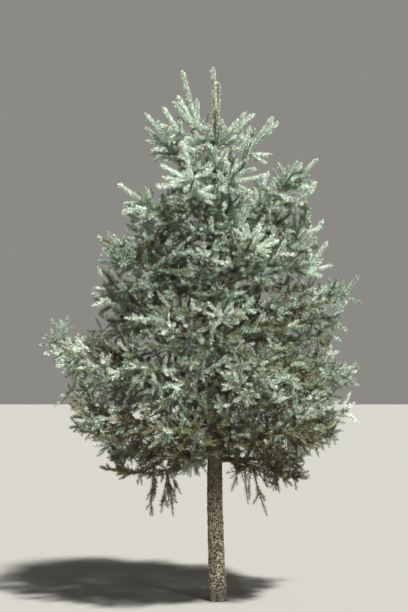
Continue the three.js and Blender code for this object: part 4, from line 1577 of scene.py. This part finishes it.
def makeTrunk():
    noise.seed_set(trunk["seed"])  # without it the bends of the plates differ from run to run
    top = trunkLevels[-1]
    levels = list(np.arange(0, trunk["fineBelow"], trunk["fineStep"]))
    levels += list(np.arange(trunk["fineBelow"], top, trunk["coarseStep"]))
    levels.append(top)
    sides = trunk["sides"]
    turns = np.linspace(-math.pi, math.pi, sides, endpoint=False)
    outlines = np.array([np.interp(turns, ring[2], ring[3], period=2 * math.pi) for ring in trunkRings])
    points = []
    relief = []
    flakes = []
    for level in levels:
        centre, radius = trunkAt(level)
        reaches = [np.interp(level, trunkLevels, outlines[:, i]) for i in range(sides)]
        thin = min(1.0, radius / trunk["thickFrom"])
        for turn, reach in zip(turns, reaches):
            across, back = math.cos(turn), math.sin(turn)
            place = Vector((centre.x + reach * across, centre.y + reach * back, level))
            plate, flake = barkRelief(place)
            lump = noise.fractal(place * trunk["lumpScale"], *trunk["lumpNoise"])
            out = trunk["plateDepth"] * (plate - trunk["plateLevel"]) + trunk["lumpDepth"] * lump
            reach += thin * out + knotRise(turn, reach, level)
            points.append((centre.x + reach * across, centre.y + reach * back, level))
            relief.append(plate)
            flakes.append(flake)
    faces = []
    for row in range(len(levels) - 1):
        for i in range(sides):
            a = row * sides + i
            b = row * sides + (i + 1) % sides
            faces.append((a, b, b + sides, a + sides))
    foot = len(points)
    points.append((*trunkAt(0)[0].xy, 0))
    points.append((*trunkAt(top)[0].xy, top + trunk["cap"]))
    relief += [1.0, 1.0]
    flakes += [0.5, 0.5]
    last = (len(levels) - 1) * sides
    for i in range(sides):
        j = (i + 1) % sides
        faces.append((foot, j, i))
        faces.append((foot + 1, last + i, last + j))
    mesh = meshOf("trunk_bark", points, faces)
    storeValues(mesh, "relief", "FLOAT", relief)
    storeValues(mesh, "flake", "FLOAT", flakes)
    mesh.materials.append(barkMaterial())
    return addObject("trunk_bark", mesh)


trunkPiece = makeTrunk()
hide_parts("trunk")
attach(trunkPiece, "root")
print("trunk", countTriangles(trunkPiece), "triangles")

# Boughs and the dead limb: swept tubes with uneven bark
limb = {
    "sides": (8, 5),  # of a mass's main limb, and of those that leave it
    "bits": (3, 5),  # of the path between one ring and the next
    "bough": (0.0135, 1.0),  # radius at the trunk, and the length from which it is that thick
    "small": (0.0085, 0.6),
    "side": (0.0062, 0.4),
    "taper": 1.25,
    "collar": 1.45,
    "collarLength": 0.05,
    "tip": 0.0024,
    "rough": 0.14,
    "roughScale": 90,
    "dead": (0.0075, 0.003),
}


def sweep(path, radii, sides, points, faces):
    start = len(points)
    for i, (place, radius) in enumerate(zip(path, radii)):
        along = (path[min(i + 1, len(path) - 1)] - path[max(i - 1, 0)]).normalized()
        across = along.cross(skyward).normalized()
        up = across.cross(along)
        for k in range(sides):
            turn = 2 * math.pi * k / sides
            out = across * math.cos(turn) + up * math.sin(turn)
            rough = 1 + limb["rough"] * noise.noise((place + out * radius) * limb["roughScale"])
            points.append(place + out * radius * rough)
    for row in range(len(path) - 1):
        for k in range(sides):
            a = start + row * sides + k
            b = start + row * sides + (k + 1) % sides
            faces.append((a, b, b + sides, a + sides))
    faces.append(tuple(start + k for k in reversed(range(sides))))
    faces.append(tuple(start + (len(path) - 1) * sides + k for k in range(sides)))


def boughRadii(name, path, order):
    lengths = np.cumsum([0] + [(q - p).length for p, q in zip(path, path[1:])])
    packed = name.replace("foliage", "bough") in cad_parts
    thick, full = limb["side" if order else "bough" if packed else "small"]
    root = thick * min(1.0, lengths[-1] / full) ** 0.5
    radii = limb["tip"] + (root - limb["tip"]) * (1 - lengths / lengths[-1]) ** limb["taper"]
    return radii * (1 + (limb["collar"] - 1) * np.clip(1 - lengths / limb["collarLength"], 0, 1))


boughPoints = []
boughFaces = []
for bough in crown.boughs:
    if bough["mass"] == "foliage_leader":  # the trunk itself runs up to it
        continue
    order = bough["order"]
    path = bough["points"][:-1:limb["bits"][order]] + [bough["points"][-1]]
    sweep(path, boughRadii(bough["mass"], path, order), limb["sides"][order], boughPoints, boughFaces)
boughPiece = addObject("boughs", meshOf("boughs", boughPoints, boughFaces))
boughBark = twigMaterial("bough_bark")
boughPiece.data.materials.append(boughBark)
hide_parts(*[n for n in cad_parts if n.startswith("bough")])
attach(boughPiece, "root")
print("boughs", countTriangles(boughPiece), "triangles")

deadMeshPoints = []
deadMeshFaces = []
deadRadii = np.linspace(*limb["dead"], len(deadPath))
sweep(deadPath, deadRadii, limb["sides"][0], deadMeshPoints, deadMeshFaces)
deadPiece = addObject("dead_limb_bark", meshOf("dead_limb_bark", deadMeshPoints, deadMeshFaces))
deadPiece.data.materials.append(boughBark)
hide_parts("dead_limb")
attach(deadPiece, "root")

# Floor, light and camera
stage = {
    "floor": (0.17, 0.165, 0.148),
    "floorRoughness": 0.9,
    "floorSize": 80,
    "sky": (1.0, 0.975, 0.9),
    "skyStrength": 0.26,
    "suns": [  # name, strength, angle in degrees, direction of the light, colour
        ("key_light", 13.3, 5, (-0.36, 0.46, -1.0), (0.97, 0.98, 0.97)),
        ("fill_light", 1.3, 40, (-0.7, 0.7, 0.0), (1, 0.96, 0.87)),
    ],
}
floorPaint = Paint("pale_floor", stage["floorRoughness"])
floorPaint.setPlain("Base Color", (*stage["floor"], 1))
bpy.ops.mesh.primitive_plane_add(size=stage["floorSize"], location=(0, 0, -0.001))
floor = bpy.context.object
floor.name = "floor"
floor.data.materials.append(floorPaint.material)

world = bpy.data.worlds.new("studio")
bpy.context.scene.world = world
world.use_nodes = True
world.node_tree.nodes["Background"].inputs["Color"].default_value = (*stage["sky"], 1)
world.node_tree.nodes["Background"].inputs["Strength"].default_value = stage["skyStrength"]

for name, strength, angle, aim, colour in stage["suns"]:
    light = bpy.data.lights.new(name, "SUN")
    light.energy = strength
    light.angle = math.radians(angle)
    light.color = colour
    lamp = addObject(name, light)
    lamp.rotation_mode = "QUATERNION"
    lamp.rotation_quaternion = Vector(aim).to_track_quat("-Z", "Y")
bpy.context.scene.view_settings.view_transform = "Standard"

cameraData = bpy.data.cameras.new("camera")
cameraData.lens = view["lens"]
cameraData.sensor_width = view["sensor"]
camera = addObject("camera", cameraData)
camera.location = view["place"]
camera.rotation_euler = (math.radians(90 + view["pitch"]), 0, 0)
bpy.context.scene.camera = camera
